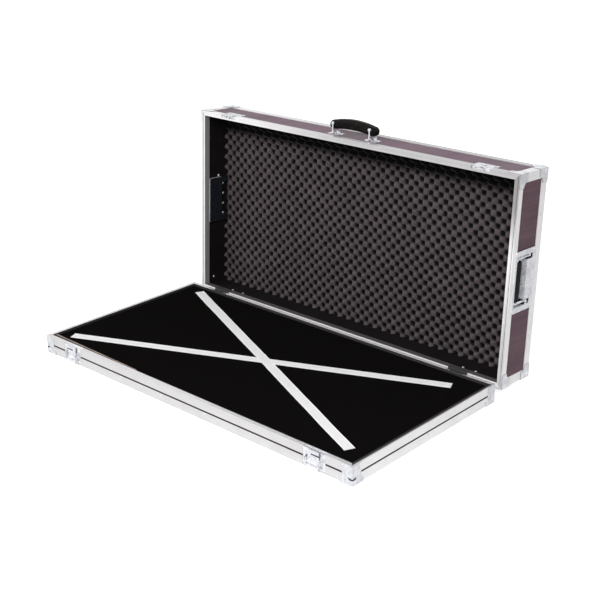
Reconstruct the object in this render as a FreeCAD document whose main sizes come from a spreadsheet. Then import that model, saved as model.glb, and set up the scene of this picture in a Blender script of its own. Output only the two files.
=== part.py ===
import FreeCAD
import Part
import Sketcher
import math
import os

Vector = FreeCAD.Vector
Placement = FreeCAD.Placement
Rotation = FreeCAD.Rotation

# Driving sizes in millimetres, angles in degrees. The case lies on its base with the lid swung open
# behind it. Sizes are given for the shut case and the whole lid is then turned about the hinge pins.
# Frame: origin in the middle of the floor panel's underside, X along the case, Y to the hinges, Z up.
sizes = {
    # whole case
    "case_length": 1020,
    "case_depth": 514,
    "base_height": 46,
    "lid_height": 117,
    "lid_gap": 0.4,
    "open_angle": 92.8,
    # plywood and aluminium sections
    "ply": 7,
    "skin": 1.5,
    "base_leg": 22,
    "lid_leg": 17,
    "edge_leg": 22,
    "rim_width": 10,
    "rim_web": 3,
    "rim_lip": 12,
    "lid_rim_width": 13,
    "lid_lip": 17.5,
    "groove_width": 3.6,
    "groove_depth": 1.3,
    "rib_width": 2.6,
    "rib_height": 1,
    "rib_short": 14,
    # steel corners
    "sheet_steel": 1.2,
    "ball_radius": 11,
    "ball_stand": 4,
    "leaf_reach": 34,
    "leaf_width": 19,
    "foot_leg": 27,
    "foot_clear": 2,
    # pedal board, carpet and strips
    "board_thick": 9,
    "board_gap": 3,
    "carpet_thick": 3,
    "carpet_drop": 5,
    "batten_width": 40,
    "batten_margin": 35,
    "batten_inset": 30,
    "strip_width": 25,
    "strip_thick": 0.8,
    "strip_lap": 34,
    "strip_lift": 0.075,
    "over_left_inset": 48,
    "over_rear_inset": 24,
    "over_right_inset": 42,
    "over_front_inset": 44,
    "under_left_inset": 24.5,
    "under_front_inset": 32,
    "under_right_inset": 61,
    "under_rear_inset": 53,
    # egg-crate foam
    "foam_tip": 80,
    "foam_pit": 18,
    "foam_pitch_long": 30.5,
    "foam_pitch_deep": 29,
    "foam_gap": 1,
    # hinges
    "hinge_inset": 105,
    "hinge_width": 56,
    "hinge_drop": 26,
    "hinge_out": 2.5,
    "barrel_radius": 3.6,
    "barrel_gap": 0.5,
    "centre_barrel": 19,
    "hinge_pin": 1.8,
    "strap_width": 50,
    "strap_height": 37,
    "stop_length": 8,
    "stop_thick": 2,
    # latches
    "latch_inset": 104,
    "latch_width": 62,
    "ear_gap": 38,
    "ear_half": 4.5,
    "ear_margin": 3,
    "lever_out": 6,
    "lever_rise": 23,
    "lever_width": 36.4,
    "link_offset": 1.8,
    "link_drop": 8,
    "lever_pin": 1.5,
    "lever_crown": 3.6,
    "link_pin": 1.6,
    "lever_face": 1.5,
    "lever_foot": 19,
    "hook_out": 2,
    "hook_width": 32,
    "hook_tip": 22,
    "hook_top": 1,
    # keepers
    "keeper_width": 60,
    "keeper_neck": 51,
    "keeper_height": 38,
    "tongue_width": 30,
    "tongue_out": 0.2,
    "tongue_rise": 8,
    "window_width": 24,
    "window_over": 1.2,
    "tongue_bar": 3.7,
    # side handles
    "flange_side": 12,
    "flange_low": 6,
    "flange_high": 8,
    "dish_centre": 54,
    "pocket_length": 126,
    "pocket_low": 36,
    "pocket_ledge": 10,
    "pocket_high": 34,
    "pocket_slot": 15,
    "pocket_depth": 14,
    "pocket_round": 4,
    "bail_rod": 3,
    "bail_inset": 8,
    "bail_sunk": 5,
    "bail_pivot": 26,
    "bail_reach": 51,
    "bail_grip_gap": 6,
    "bail_grip_width": 18,
    "bail_grip_thick": 12.5,
    "bail_grip_round": 4,
    # carrying handle on the front of the lid
    "handle_level": 42,
    "ring_spacing": 118,
    "ring_rod": 2,
    "ring_span": 29,
    "ring_seat": 4,
    "ring_height": 25,
    "eye_radius": 4,
    "eye_thick": 3.2,
    "saddle_length": 40,
    "saddle_width": 23,
    "grip_length": 150,
    "grip_width": 24,
    "grip_end": 24,
    "grip_low": 15.5,
    "grip_rise_under": 5,
    "grip_rise_over": 10,
    # rivets
    "rivet_radius": 3.2,
    "rivet_height": 1,
    "rivet_start_long": 289.5,
    "rivet_start_deep": 108,
    "rivet_inset": 6,
    # clearances
    "slip": 0.3,
    "running": 0.05,
    "overrun": 400,
}


# A size knows its value and the spreadsheet formula that gives it, so sums of sizes stay bound.
class Size:
    def __init__(self, value, text):
        self.value = float(value)
        self.text = text

    def __add__(self, other):
        return Size(self.value + number(other), "(%s + %s)" % (self.text, formula(other)))

    def __radd__(self, other):
        return Size(number(other) + self.value, "(%s + %s)" % (formula(other), self.text))

    def __sub__(self, other):
        return Size(self.value - number(other), "(%s - %s)" % (self.text, formula(other)))

    def __rsub__(self, other):
        return Size(number(other) - self.value, "(%s - %s)" % (formula(other), self.text))

    def __mul__(self, other):
        return Size(self.value * number(other), "(%s * %s)" % (self.text, formula(other)))

    def __rmul__(self, other):
        return Size(number(other) * self.value, "(%s * %s)" % (formula(other), self.text))

    def __truediv__(self, other):
        return Size(self.value / number(other), "(%s / %s)" % (self.text, formula(other)))

    def __neg__(self):
        return Size(-self.value, "(0 - %s)" % self.text)


class Sizes:
    def __getattr__(self, name):
        return Size(sizes[name], "dims." + name)


def number(item):
    return item.value if isinstance(item, Size) else float(item)


def formula(item):
    return item.text if isinstance(item, Size) else repr(float(item))


s = Sizes()
doc = FreeCAD.newDocument("case")
sheet = doc.addObject("Spreadsheet::Sheet", "dims")
for row, (alias, value) in enumerate(sizes.items(), start=1):
    sheet.set("A%d" % row, alias)
    sheet.set("B%d" % row, str(value))
    sheet.setAlias("B%d" % row, alias)
doc.recompute()

parts = []

# Levels and places that several pieces share.
half_length = s.case_length / 2
half_depth = s.case_depth / 2
base_bottom = -s.skin
base_rim = base_bottom + s.base_height
lid_rim = base_rim + s.lid_gap
lid_top = lid_rim + s.lid_height
wall = s.skin + s.ply
floor_top = base_bottom + wall
axis_height = base_rim - s.hinge_drop
axis_depth = half_depth + s.hinge_out
leaf_back = s.skin
leaf_front = s.skin - s.sheet_steel
hinge_spread = half_length - s.hinge_inset
latch_spread = half_length - s.latch_inset


def bind(item, name, size):
    item.setExpression(name, formula(size))


def point(x, y, z):
    return Vector(number(x), number(y), number(z))


def moved(x, y, z, turn=0, axis=Vector(0, 0, 1)):
    return Placement(point(x, y, z), Rotation(axis, turn))


# The shut case is the base's own frame. Lid pieces are turned back about the hinge pins.
def lid_place():
    centre = point(0, axis_depth, axis_height)
    turn = Rotation(Vector(1, 0, 0), -number(s.open_angle))
    return Placement(centre - turn.multVec(centre), turn)


def base_place():
    return Placement()


# A side's frame has X along the side, Y into the case and Z up.
def side_place(side):
    places = {
        "front": (0, 0, -half_depth),
        "rear": (180, 0, half_depth),
        "left": (-90, -half_length, 0),
        "right": (90, half_length, 0),
    }
    turn, x, y = places[side]
    return moved(x, y, 0, turn)


def side_half(side):
    return half_length if side in ("front", "rear") else half_depth


def keep(item, label, place):
    item.Label = label
    item.Placement = place
    parts.append(item)
    return item


def new_body(label, place):
    return keep(doc.addObject("PartDesign::Body", label), label, place)


def origin_plane(body, role):
    return [item for item in body.Origin.OriginFeatures if item.Role == role][0]


# An arc without a radius is a half circle over a level or upright chord.
def arc_between(first, second, radius, bulge):
    chord = second - first
    radius = chord.Length / 2 if radius is None else number(radius)
    reach = math.sqrt(max(radius ** 2 - (chord.Length / 2) ** 2, 0))
    across = Vector(-chord.y, chord.x, 0).normalize()
    centre = (first + second) / 2 + across * reach * bulge
    circle = Part.Circle(centre, Vector(0, 0, 1), radius)
    start, end = (first, second) if bulge > 0 else (second, first)
    angles = [math.atan2(item.y - centre.y, item.x - centre.x) for item in (start, end)]
    return Part.ArcOfCircle(circle, angles[0], angles[1])


# Draws one closed outline. A corner is (x, y), or (x, y, radius, bulge) where an arc leads to the
# next corner: bulge 1 turns left round its centre and -1 turns right. Every corner is bound.
def draw_outline(sketch, corners):
    spots = [Vector(number(item[0]), number(item[1]), 0) for item in corners]
    first_ends = []
    last_ends = []
    for index, corner in enumerate(corners):
        start = spots[index]
        end = spots[(index + 1) % len(spots)]
        if len(corner) == 2:
            line = sketch.addGeometry(Part.LineSegment(start, end), False)
            first_ends.append((line, 1))
            last_ends.append((line, 2))
            continue
        radius, bulge = corner[2], corner[3]
        arc = sketch.addGeometry(arc_between(start, end, radius, bulge), False)
        near, far = (1, 2) if bulge > 0 else (2, 1)
        first_ends.append((arc, near))
        last_ends.append((arc, far))
        if radius is not None:
            rule = sketch.addConstraint(Sketcher.Constraint("Radius", arc, number(radius)))
            sketch.setExpression("Constraints[%d]" % rule, formula(radius))
            continue
        level = abs(start.y - end.y) < abs(start.x - end.x)
        kind, size = ("DistanceY", corner[1]) if level else ("DistanceX", corner[0])
        rule = sketch.addConstraint(Sketcher.Constraint(kind, -1, 1, arc, 3, number(size)))
        sketch.setExpression("Constraints[%d]" % rule, formula(size))
    for index, corner in enumerate(corners):
        here = first_ends[index]
        before = last_ends[index - 1]
        sketch.addConstraint(Sketcher.Constraint("Coincident", before[0], before[1], here[0], here[1]))
        for kind, size in (("DistanceX", corner[0]), ("DistanceY", corner[1])):
            rule = sketch.addConstraint(Sketcher.Constraint(kind, -1, 1, here[0], here[1], number(size)))
            sketch.setExpression("Constraints[%d]" % rule, formula(size))


def draw_circle(sketch, x, y, radius):
    centre = Vector(number(x), number(y), 0)
    circle = sketch.addGeometry(Part.Circle(centre, Vector(0, 0, 1), number(radius)), False)
    rules = (
        (Sketcher.Constraint("Radius", circle, number(radius)), radius),
        (Sketcher.Constraint("DistanceX", -1, 1, circle, 3, number(x)), x),
        (Sketcher.Constraint("DistanceY", -1, 1, circle, 3, number(y)), y),
    )
    for constraint, size in rules:
        rule = sketch.addConstraint(constraint)
        sketch.setExpression("Constraints[%d]" % rule, formula(size))


# Outlines are lists of corners, circles are tuples (x, y, radius).
def draw(body, role, outlines, offset=0):
    sketch = body.newObject("Sketcher::SketchObject", body.Label + "_sketch")
    sketch.AttachmentSupport = [(origin_plane(body, role), "")]
    sketch.MapMode = "FlatFace"
    bind(sketch, "AttachmentOffset.Base.z", offset)
    for outline in outlines:
        if isinstance(outline, tuple):
            draw_circle(sketch, *outline)
        else:
            draw_outline(sketch, outline)
    return sketch


# Pads and pockets run from the offset along the plane's own normal: +X, -Y or +Z.
def add(body, role, outlines, length, offset=0, middle=False):
    sketch = draw(body, role, outlines, offset)
    pad = body.newObject("PartDesign::Pad", body.Label + "_pad")
    pad.Profile = sketch
    bind(pad, "Length", length)
    pad.SideType = "Symmetric" if middle else "One side"
    body.Tip = pad
    return pad


def cut(body, role, outlines, length, offset=0, middle=False):
    sketch = draw(body, role, outlines, offset)
    pocket = body.newObject("PartDesign::Pocket", body.Label + "_pocket")
    pocket.Profile = sketch
    bind(pocket, "Length", length)
    if middle:
        pocket.SideType = "Symmetric"
    else:
        pocket.Reversed = True
    body.Tip = pocket
    return pocket


def rectangle(x0, y0, x1, y1):
    return [(x0, y0), (x1, y0), (x1, y1), (x0, y1)]


def centred(width, low, high, middle=0):
    return rectangle(middle - width / 2, low, middle + width / 2, high)


# Rounds the straight edges that run along one axis of the body and pass the test.
def round_edges(body, radius, direction, test=None):
    doc.recompute()
    base = body.Tip
    names = []
    for index, edge in enumerate(base.Shape.Edges, start=1):
        if not isinstance(edge.Curve, Part.Line):
            continue
        if edge.Curve.Direction.cross(direction).Length > 0.001:
            continue
        if test is None or test(edge.CenterOfMass):
            names.append("Edge%d" % index)
    fillet = body.newObject("PartDesign::Fillet", body.Label + "_fillet")
    fillet.Base = (base, names)
    bind(fillet, "Radius", radius)
    body.Tip = fillet
    return fillet


def block(label, low, high, place):
    item = doc.addObject("Part::Box", label)
    for name, near, far in zip(("Length", "Width", "Height"), low, high):
        bind(item, name, far - near)
    item.Placement = place.multiply(moved(*low))
    return item


def box(label, low, high, place):
    item = block(label, low, high, place)
    return keep(item, label, item.Placement)


def compound(label, items, place):
    group = doc.addObject("Part::Compound", label)
    group.Links = items
    return keep(group, label, place)


def mirrored(source, normal, label):
    copy = doc.addObject("Part::Mirroring", label)
    copy.Source = source
    copy.Base = Vector(0, 0, 0)
    copy.Normal = normal
    return copy


# One corner piece, mirrored to all four corners of the case.
def at_four_corners(label, source, place):
    across = mirrored(source, Vector(1, 0, 0), label + "_right")
    behind = mirrored(source, Vector(0, 1, 0), label + "_rear")
    far = mirrored(across, Vector(0, 1, 0), label + "_rear_right")
    return compound(label, [source, across, behind, far], place)


def spare_body(name, place):
    body = doc.addObject("PartDesign::Body", name)
    body.Label = name
    body.Placement = place
    return body


# Aluminium sections

# Rim section: the outer leg, the web over the plywood's edge and the short inner lip. Depth t is
# counted from the rim into the shell, so the lid's section is the base's turned over.
def rim_section(level, sign, leg, width, lip, seam_width, seam_depth):
    middle = s.rim_width / 2
    seam = [
        (middle - seam_width / 2, 0),
        (middle - seam_width / 2, seam_depth),
        (middle + seam_width / 2, seam_depth),
        (middle + seam_width / 2, 0),
    ]
    corners = [(0, 0)] + seam + [
        (width, 0),
        (width, lip),
        (width - s.skin, lip),
        (width - s.skin, s.rim_web),
        (s.skin, s.rim_web),
        (s.skin, leg),
        (0, leg),
    ]
    return [(u, level + sign * t) for u, t in corners]


def lid_rim_section(rib_height):
    return rim_section(lid_rim, 1, s.lid_leg, s.lid_rim_width, s.lid_lip, s.rib_width, -rib_height)


def plain_rim_section():
    corners = lid_rim_section(0)
    return [corners[0]] + corners[5:]


def edge_section(level, sign, leg):
    corners = [(0, 0), (leg, 0), (leg, s.skin), (s.skin, s.skin), (s.skin, leg), (0, leg)]
    return [(u, level + sign * t) for u, t in corners]


# A bar along one side with both ends cut to 45 degrees, where it meets its neighbours.
def mitred_bar(label, side, section, width, place):
    half = side_half(side)
    body = new_body(label, place.multiply(side_place(side)))
    add(body, "YZ_Plane", [section], 2 * half, middle=True)
    ends = [[(sign * half, 0), (sign * half, width), (sign * (half - width), width)] for sign in (1, -1)]
    cut(body, "XY_Plane", ends, s.overrun, middle=True)
    return body


def cut_openings(body, spread, width, depth, offset=None):
    slots = [centred(width, -s.skin, depth, sign * spread) for sign in (1, -1)]
    if offset is None:
        cut(body, "XY_Plane", slots, s.overrun, middle=True)
    else:
        cut(body, "XY_Plane", slots, s.overrun, offset=offset)


def base_sections():
    place = base_place()
    inner = s.rim_width - s.skin
    for side in ("front", "rear", "left", "right"):
        rim = rim_section(base_rim, -1, s.base_leg, s.rim_width, s.rim_lip, s.groove_width, s.groove_depth)
        body = mitred_bar("base_rim_" + side, side, rim, s.rim_width, place)
        if side == "front":
            cut_openings(body, latch_spread, s.latch_width + 2 * s.slip, inner)
        if side == "rear":
            cut_openings(body, hinge_spread, s.hinge_width + 2 * s.slip, inner)
        edge = edge_section(base_bottom, 1, s.edge_leg)
        body = mitred_bar("base_edge_" + side, side, edge, s.edge_leg, place)
        if side == "front":
            cut_openings(body, latch_spread, s.latch_width + 2 * s.slip, s.skin, base_bottom + s.skin)
        if side == "rear":
            low = axis_height - s.barrel_radius - s.slip
            cut_openings(body, hinge_spread, s.hinge_width + 2 * s.slip, s.skin, low)


def lid_sections():
    place = lid_place()
    inner = s.rim_width - s.skin
    for side in ("front", "rear", "left", "right"):
        rim = plain_rim_section() if side == "rear" else lid_rim_section(s.rib_height)
        body = mitred_bar("lid_rim_" + side, side, rim, s.lid_rim_width, place)
        if side == "front":
            cut_openings(body, latch_spread, s.keeper_neck + 2 * s.slip, inner)
        if side in ("left", "right"):
            shorten_rib(body, -1 if side == "left" else 1)
        edge = edge_section(lid_top, -1, s.edge_leg)
        mitred_bar("lid_edge_" + side, side, edge, s.edge_leg, place)


# The side ribs stop short of the hinges, where the closing lid still slides forward.
def shorten_rib(body, rear):
    end = rear * half_depth
    stub = rectangle(end - rear * s.rib_short, 0, end, s.rim_width)
    cut(body, "XY_Plane", [stub], s.rib_height + s.slip, offset=lid_rim - s.rib_height - s.slip)


# The lid's upright corners are covered by angle sections between the rim and the top edge.
def lid_posts():
    body = spare_body("lid_post", moved(-half_length, -half_depth, 0))
    leg = s.edge_leg
    angle = [(0, 0), (leg, 0), (leg, s.skin), (s.skin, s.skin), (s.skin, leg), (0, leg)]
    low = lid_rim + s.lid_leg
    high = lid_top - s.edge_leg
    add(body, "XY_Plane", [angle], high - low, offset=low)
    at_four_corners("lid_corner_posts", body, lid_place())


# Plywood panels

def panels(name, low, high, place, handle_holes):
    long_half = half_length - s.skin
    short_half = half_depth - wall
    for side in ("front", "rear", "left", "right"):
        half = long_half if side in ("front", "rear") else short_half
        body = new_body("%s_%s_panel" % (name, side), place.multiply(side_place(side)))
        add(body, "XY_Plane", [rectangle(-half, s.skin, half, wall)], high - low, offset=low)
        if handle_holes and side in ("left", "right"):
            hole = pocket_outline(-s.slip, lid_rim + s.dish_centre)
            cut(body, "XZ_Plane", [hole], s.overrun, middle=True)


# The floor panel's underside has an outline of its own where it lies clear of edges and corners.
def floor_panel():
    blocks = []
    for name, inset in (("whole", s.skin), ("open", s.edge_leg + s.foot_clear)):
        low = (inset - half_length, inset - half_depth, base_bottom + s.skin)
        high = (half_length - inset, half_depth - inset, floor_top)
        blocks.append(block("floor_" + name, low, high, Placement()))
    panel = doc.addObject("Part::Fuse", "base_floor_panel")
    panel.Base, panel.Tool = blocks
    panel.Refine = False
    keep(panel, "base_floor_panel", base_place())


def all_panels():
    inset = s.skin
    floor_panel()
    panels("base", floor_top, base_rim - s.rim_web, base_place(), False)
    low = (inset - half_length, inset - half_depth, lid_top - wall)
    high = (half_length - inset, half_depth - inset, lid_top - s.skin)
    box("lid_top_panel", low, high, lid_place())
    panels("lid", lid_rim + s.rim_web, lid_top - wall, lid_place(), True)


# Pressed steel corners, drawn at the case's corner with the three edges running off along X, Y and Z.

# One leaf plate: it runs along both edges and its inner outline is a hollow quarter circle.
def leaf(reach, width, lap):
    return [
        (-lap, -lap),
        (reach, -lap),
        (reach, width, reach - width, -1),
        (width, reach),
        (-lap, reach),
    ]


def add_ball(body):
    ball = body.newObject("PartDesign::AdditiveSphere", body.Label + "_ball")
    centre = s.ball_radius - s.ball_stand
    for name in ("x", "y", "z"):
        bind(ball, "AttachmentOffset.Base." + name, centre)
    ball.AttachmentSupport = [(origin_plane(body, "XY_Plane"), "")]
    ball.MapMode = "FlatFace"
    bind(ball, "Radius", s.ball_radius)
    body.Tip = ball
    cut(body, "XY_Plane", [rectangle(0, 0, s.overrun, s.overrun)], s.overrun)


def lid_ball_corners():
    place = moved(-half_length, -half_depth, lid_top, 90).multiply(moved(0, 0, 0, 180, Vector(1, 0, 0)))
    body = spare_body("lid_ball_corner", place)
    lap = s.sheet_steel
    plate = leaf(s.leaf_reach, s.leaf_width, lap)
    add(body, "XY_Plane", [plate], lap, offset=-lap)
    add(body, "XZ_Plane", [plate], lap)
    add(body, "YZ_Plane", [plate], lap, offset=-lap)
    add_ball(body)
    at_four_corners("lid_ball_corners", body, lid_place())


# The base's corners wrap its whole height and end in a ball that the case stands on.
def base_ball_corners():
    body = spare_body("base_ball_corner", moved(-half_length, -half_depth, base_bottom))
    lap = s.sheet_steel
    leg = s.foot_leg
    high = s.base_height - s.slip
    side = [
        (-lap, -lap),
        (s.leaf_reach, -lap),
        (s.leaf_reach, s.leaf_width / 2, s.leaf_reach - leg, -1),
        (leg, s.leaf_width / 2 + s.leaf_reach - leg),
        (leg, high),
        (-lap, high),
    ]
    add(body, "XY_Plane", [leaf(s.leaf_reach, s.leaf_width, lap)], lap, offset=-lap)
    add(body, "XZ_Plane", [side], lap)
    add(body, "YZ_Plane", [side], lap, offset=-lap)
    add_ball(body)
    at_four_corners("base_ball_corners", body, base_place())


def lid_rim_brackets():
    body = spare_body("lid_rim_bracket", moved(-half_length, -half_depth, lid_rim))
    lap = s.sheet_steel
    outline = [
        (-lap, 0),
        (s.leaf_reach, 0),
        (s.leaf_reach, s.leaf_width, s.leaf_reach - s.leaf_width, -1),
        (s.leaf_width, s.leaf_reach),
        (-lap, s.leaf_reach),
    ]
    add(body, "XZ_Plane", [outline], lap)
    add(body, "YZ_Plane", [outline], lap, offset=-lap)
    at_four_corners("lid_rim_brackets", body, lid_place())


# Hinges, drawn at the rear face with Y pointing out of the case.

def hinge_place(sign):
    return moved(sign * hinge_spread, half_depth, 0)


def base_hinge_leaf(name, sign):
    body = spare_body("base_hinge_leaf_" + name, hinge_place(sign))
    barrel = (s.hinge_out, axis_height, s.barrel_radius)
    low = axis_height - s.barrel_radius + s.slip
    ledge = base_rim - s.rim_web
    top = ledge + s.sheet_steel
    reach = s.rim_width - s.skin - s.slip
    plate = [
        (-leaf_back, low),
        (-leaf_front, low),
        (-leaf_front, top),
        (-reach, top),
        (-reach, ledge),
        (-leaf_back, ledge),
    ]
    add(body, "YZ_Plane", [plate], s.hinge_width, middle=True)
    add(body, "YZ_Plane", [barrel], s.hinge_width, middle=True)
    gap = s.centre_barrel / 2 + s.barrel_gap
    notch = rectangle(-leaf_back, low - s.barrel_radius, s.overrun, axis_height + s.barrel_radius + s.barrel_gap)
    cut(body, "YZ_Plane", [notch], 2 * gap, middle=True)
    bore = (s.hinge_out, axis_height, s.hinge_pin)
    cut(body, "YZ_Plane", [bore], s.overrun, middle=True)
    return body


# The strap climbs over the lid's rim and steps in onto the panel above it.
def lid_hinge_leaf(name, sign):
    body = spare_body("lid_hinge_leaf_" + name, hinge_place(sign))
    clear = axis_height + s.barrel_radius + s.barrel_gap
    step = lid_rim + s.lid_leg + s.slip
    top = lid_rim + s.strap_height
    strap = [
        (0, clear),
        (s.skin, clear),
        (s.skin, step + s.skin),
        (-leaf_front, step + s.skin),
        (-leaf_front, top),
        (-leaf_back, top),
        (-leaf_back, step),
        (0, step),
    ]
    add(body, "YZ_Plane", [strap], s.strap_width, middle=True)
    add(body, "YZ_Plane", [rectangle(0, axis_height, s.skin, clear)], s.centre_barrel, middle=True)
    add(body, "YZ_Plane", [(s.hinge_out, axis_height, s.barrel_radius)], s.centre_barrel, middle=True)
    face = s.slip - s.hinge_out
    nose = rectangle(face, -s.stop_length, face + s.stop_thick, 0)
    pad = add(body, "YZ_Plane", [nose], s.centre_barrel, middle=True)
    turned = pad.Profile[0]
    bind(turned, "AttachmentOffset.Base.x", s.hinge_out)
    bind(turned, "AttachmentOffset.Base.y", axis_height)
    turned.AttachmentOffset = Placement(turned.AttachmentOffset.Base, Rotation(Vector(0, 0, 1), 0))
    bind(turned, "AttachmentOffset.Rotation.Angle", s.open_angle)
    bore = (s.hinge_out, axis_height, s.hinge_pin + s.running)
    cut(body, "YZ_Plane", [bore], s.overrun, middle=True)
    return body


def hinge_pins():
    pins = []
    for name, sign in (("left", -1), ("right", 1)):
        pin = doc.addObject("Part::Cylinder", "hinge_pin_" + name)
        bind(pin, "Radius", s.hinge_pin)
        bind(pin, "Height", s.hinge_width)
        start = point(sign * hinge_spread - s.hinge_width / 2, axis_depth, axis_height)
        pin.Placement = Placement(start, Rotation(Vector(0, 1, 0), 90))
        pins.append(pin)
    compound("hinge_pins", pins, base_place())


# Draw latches, drawn at the front face with -Y pointing out of the case.

lever_axis = base_bottom + s.lever_rise
link_axis = lever_axis - s.link_drop
link_out = s.lever_out - s.link_offset
hook_level = base_rim - s.hook_top


def latch_place(sign):
    return moved(sign * latch_spread, -half_depth, 0)


def latch_plate(name, sign):
    body = spare_body("latch_plate_" + name, latch_place(sign))
    low = base_bottom + s.skin + s.slip
    ledge = base_rim - s.rim_web
    top = ledge + s.sheet_steel
    reach = s.rim_width - s.skin - s.slip
    plate = [
        (leaf_back, low),
        (leaf_back, ledge),
        (reach, ledge),
        (reach, top),
        (leaf_front, top),
        (leaf_front, low),
    ]
    add(body, "YZ_Plane", [plate], s.latch_width, middle=True)
    ear_reach = s.lever_out + s.ear_margin
    spread = s.ear_half
    ear = [
        (leaf_front, lever_axis - 2 * spread),
        (leaf_front, lever_axis + 2 * spread),
        (-ear_reach, lever_axis + spread),
        (-ear_reach, lever_axis - spread),
    ]
    add(body, "YZ_Plane", [ear], s.ear_gap + 2 * s.sheet_steel, middle=True)
    inside = rectangle(-s.overrun, low, leaf_front, top)
    cut(body, "YZ_Plane", [inside], s.ear_gap, middle=True)
    cut(body, "YZ_Plane", [(-s.lever_out, lever_axis, s.lever_pin)], s.overrun, middle=True)
    return body


def latch_lever(label, sign):
    body = new_body(label, latch_place(sign))
    width = s.lever_width
    thick = s.sheet_steel
    face = s.lever_out + s.lever_face
    outer = face + thick
    foot = lever_axis - s.lever_foot
    crown = lever_axis + s.lever_crown
    cheek = [
        (-link_out + s.link_pin + thick / 2, link_axis),
        (-s.lever_out + s.ear_margin, crown),
        (-outer, crown),
        (-outer, foot),
        (-face, foot),
    ]
    add(body, "YZ_Plane", [cheek], width, middle=True)
    hollow = rectangle(-face, foot - thick, s.overrun, crown + thick)
    cut(body, "YZ_Plane", [hollow], width - 2 * thick, middle=True)
    head = link_axis - s.link_pin - thick
    window = rectangle(-s.overrun, head, s.overrun, crown + thick)
    cut(body, "YZ_Plane", [window], width - 2 * thick, middle=True)
    lip = [
        (-face, foot),
        (-outer, foot + thick),
        (-outer - 2 * thick, foot - thick),
        (-outer - thick, foot - 2 * thick),
    ]
    add(body, "YZ_Plane", [lip], width - 2 * thick, middle=True)
    holes = [
        (-s.lever_out, lever_axis, s.lever_pin + s.running),
        (-link_out, link_axis, s.link_pin + s.running),
    ]
    cut(body, "YZ_Plane", holes, s.overrun, middle=True)


def latch_hook(label, sign):
    body = new_body(label, latch_place(sign))
    back = s.hook_out + s.skin
    journal = s.lever_width
    add(body, "YZ_Plane", [(-link_out, link_axis, s.link_pin)], journal, middle=True)
    add(body, "YZ_Plane", [rectangle(-back, link_axis, -s.hook_out, hook_level)], s.hook_width, middle=True)
    tip = rectangle(-s.hook_out, hook_level - s.skin, 0, hook_level)
    add(body, "YZ_Plane", [tip], s.hook_tip, middle=True)


# Short rivets through the ears carry the levers.
def latch_pins():
    pins = []
    length = (s.ear_gap - s.lever_width) / 2 + 3 * s.sheet_steel
    for name, sign in (("left", -1), ("right", 1)):
        for end, way in (("inner", -1), ("outer", 1)):
            pin = doc.addObject("Part::Cylinder", "latch_pin_%s_%s" % (name, end))
            bind(pin, "Radius", s.lever_pin)
            bind(pin, "Height", length)
            start = sign * latch_spread + way * (s.lever_width / 2 - s.sheet_steel)
            spot = point(start, -half_depth - s.lever_out, lever_axis)
            pin.Placement = Placement(spot, Rotation(Vector(0, 1, 0), 90 * way))
            pins.append(pin)
    compound("latch_pins", pins, base_place())


# The keeper sits in the lid's rim and sends a windowed tongue down past the base's rim.
def latch_keeper(name, sign):
    body = spare_body("latch_keeper_" + name, latch_place(sign))
    ledge = lid_rim + s.rim_web
    low = ledge - s.sheet_steel
    neck_top = lid_rim + s.lid_leg + s.slip
    top = lid_rim + s.keeper_height
    reach = s.rim_width - s.skin - s.slip
    neck = [
        (leaf_front, low),
        (reach, low),
        (reach, ledge),
        (leaf_back, ledge),
        (leaf_back, top),
        (leaf_front, top),
    ]
    add(body, "YZ_Plane", [neck], s.keeper_neck, middle=True)
    add(body, "YZ_Plane", [rectangle(leaf_front, neck_top, leaf_back, top)], s.keeper_width, middle=True)
    inner = -s.tongue_out
    outer = inner - s.sheet_steel
    sill = hook_level - s.skin - s.slip
    rise = lid_rim + s.tongue_rise
    tongue = [
        (outer, sill - s.tongue_bar),
        (inner, sill - s.tongue_bar),
        (inner, rise - s.skin),
        (leaf_front, rise - s.skin),
        (leaf_front, rise),
        (outer, rise),
    ]
    add(body, "YZ_Plane", [tongue], s.tongue_width, middle=True)
    window = rectangle(outer, sill, inner, hook_level + s.window_over)
    cut(body, "YZ_Plane", [window], s.window_width, middle=True)
    return body


def pair(label, make, place):
    compound(label, [make("left", -1), make("right", 1)], place)


def hinges_and_latches():
    pair("base_hinge_leaves", base_hinge_leaf, base_place())
    pair("lid_hinge_leaves", lid_hinge_leaf, lid_place())
    hinge_pins()
    pair("latch_plates", latch_plate, base_place())
    pair("latch_keepers", latch_keeper, lid_place())
    latch_pins()
    for name, sign in (("left", -1), ("right", 1)):
        latch_lever("latch_lever_" + name, sign)
        latch_hook("latch_hook_" + name, sign)


# Side handles, drawn on the side's outer face with X pointing out and Z to the lid's top.

def handle_place(sign):
    turn = 0 if sign > 0 else 180
    return lid_place().multiply(moved(sign * half_length, 0, lid_rim + s.dish_centre, turn))


dish_half = s.pocket_length / 2 + s.flange_side
dish_low = s.pocket_low + s.flange_low
dish_high = s.pocket_high + s.flange_high
bail_arm = s.pocket_length / 2 - s.bail_inset


# The pocket holds the grip, and a slot at each end of it holds an arm of the bail.
def pocket_outline(inset, middle=0):
    half = s.pocket_length / 2
    low = middle - s.pocket_low + inset
    ledge = middle + s.pocket_ledge - inset
    high = middle + s.pocket_high - inset
    outer = half - inset
    inner = half - s.pocket_slot + inset
    corners = [(-outer, low), (outer, low), (outer, high), (inner, high)]
    return corners + [(inner, ledge), (-inner, ledge), (-inner, high), (-outer, high)]


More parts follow.
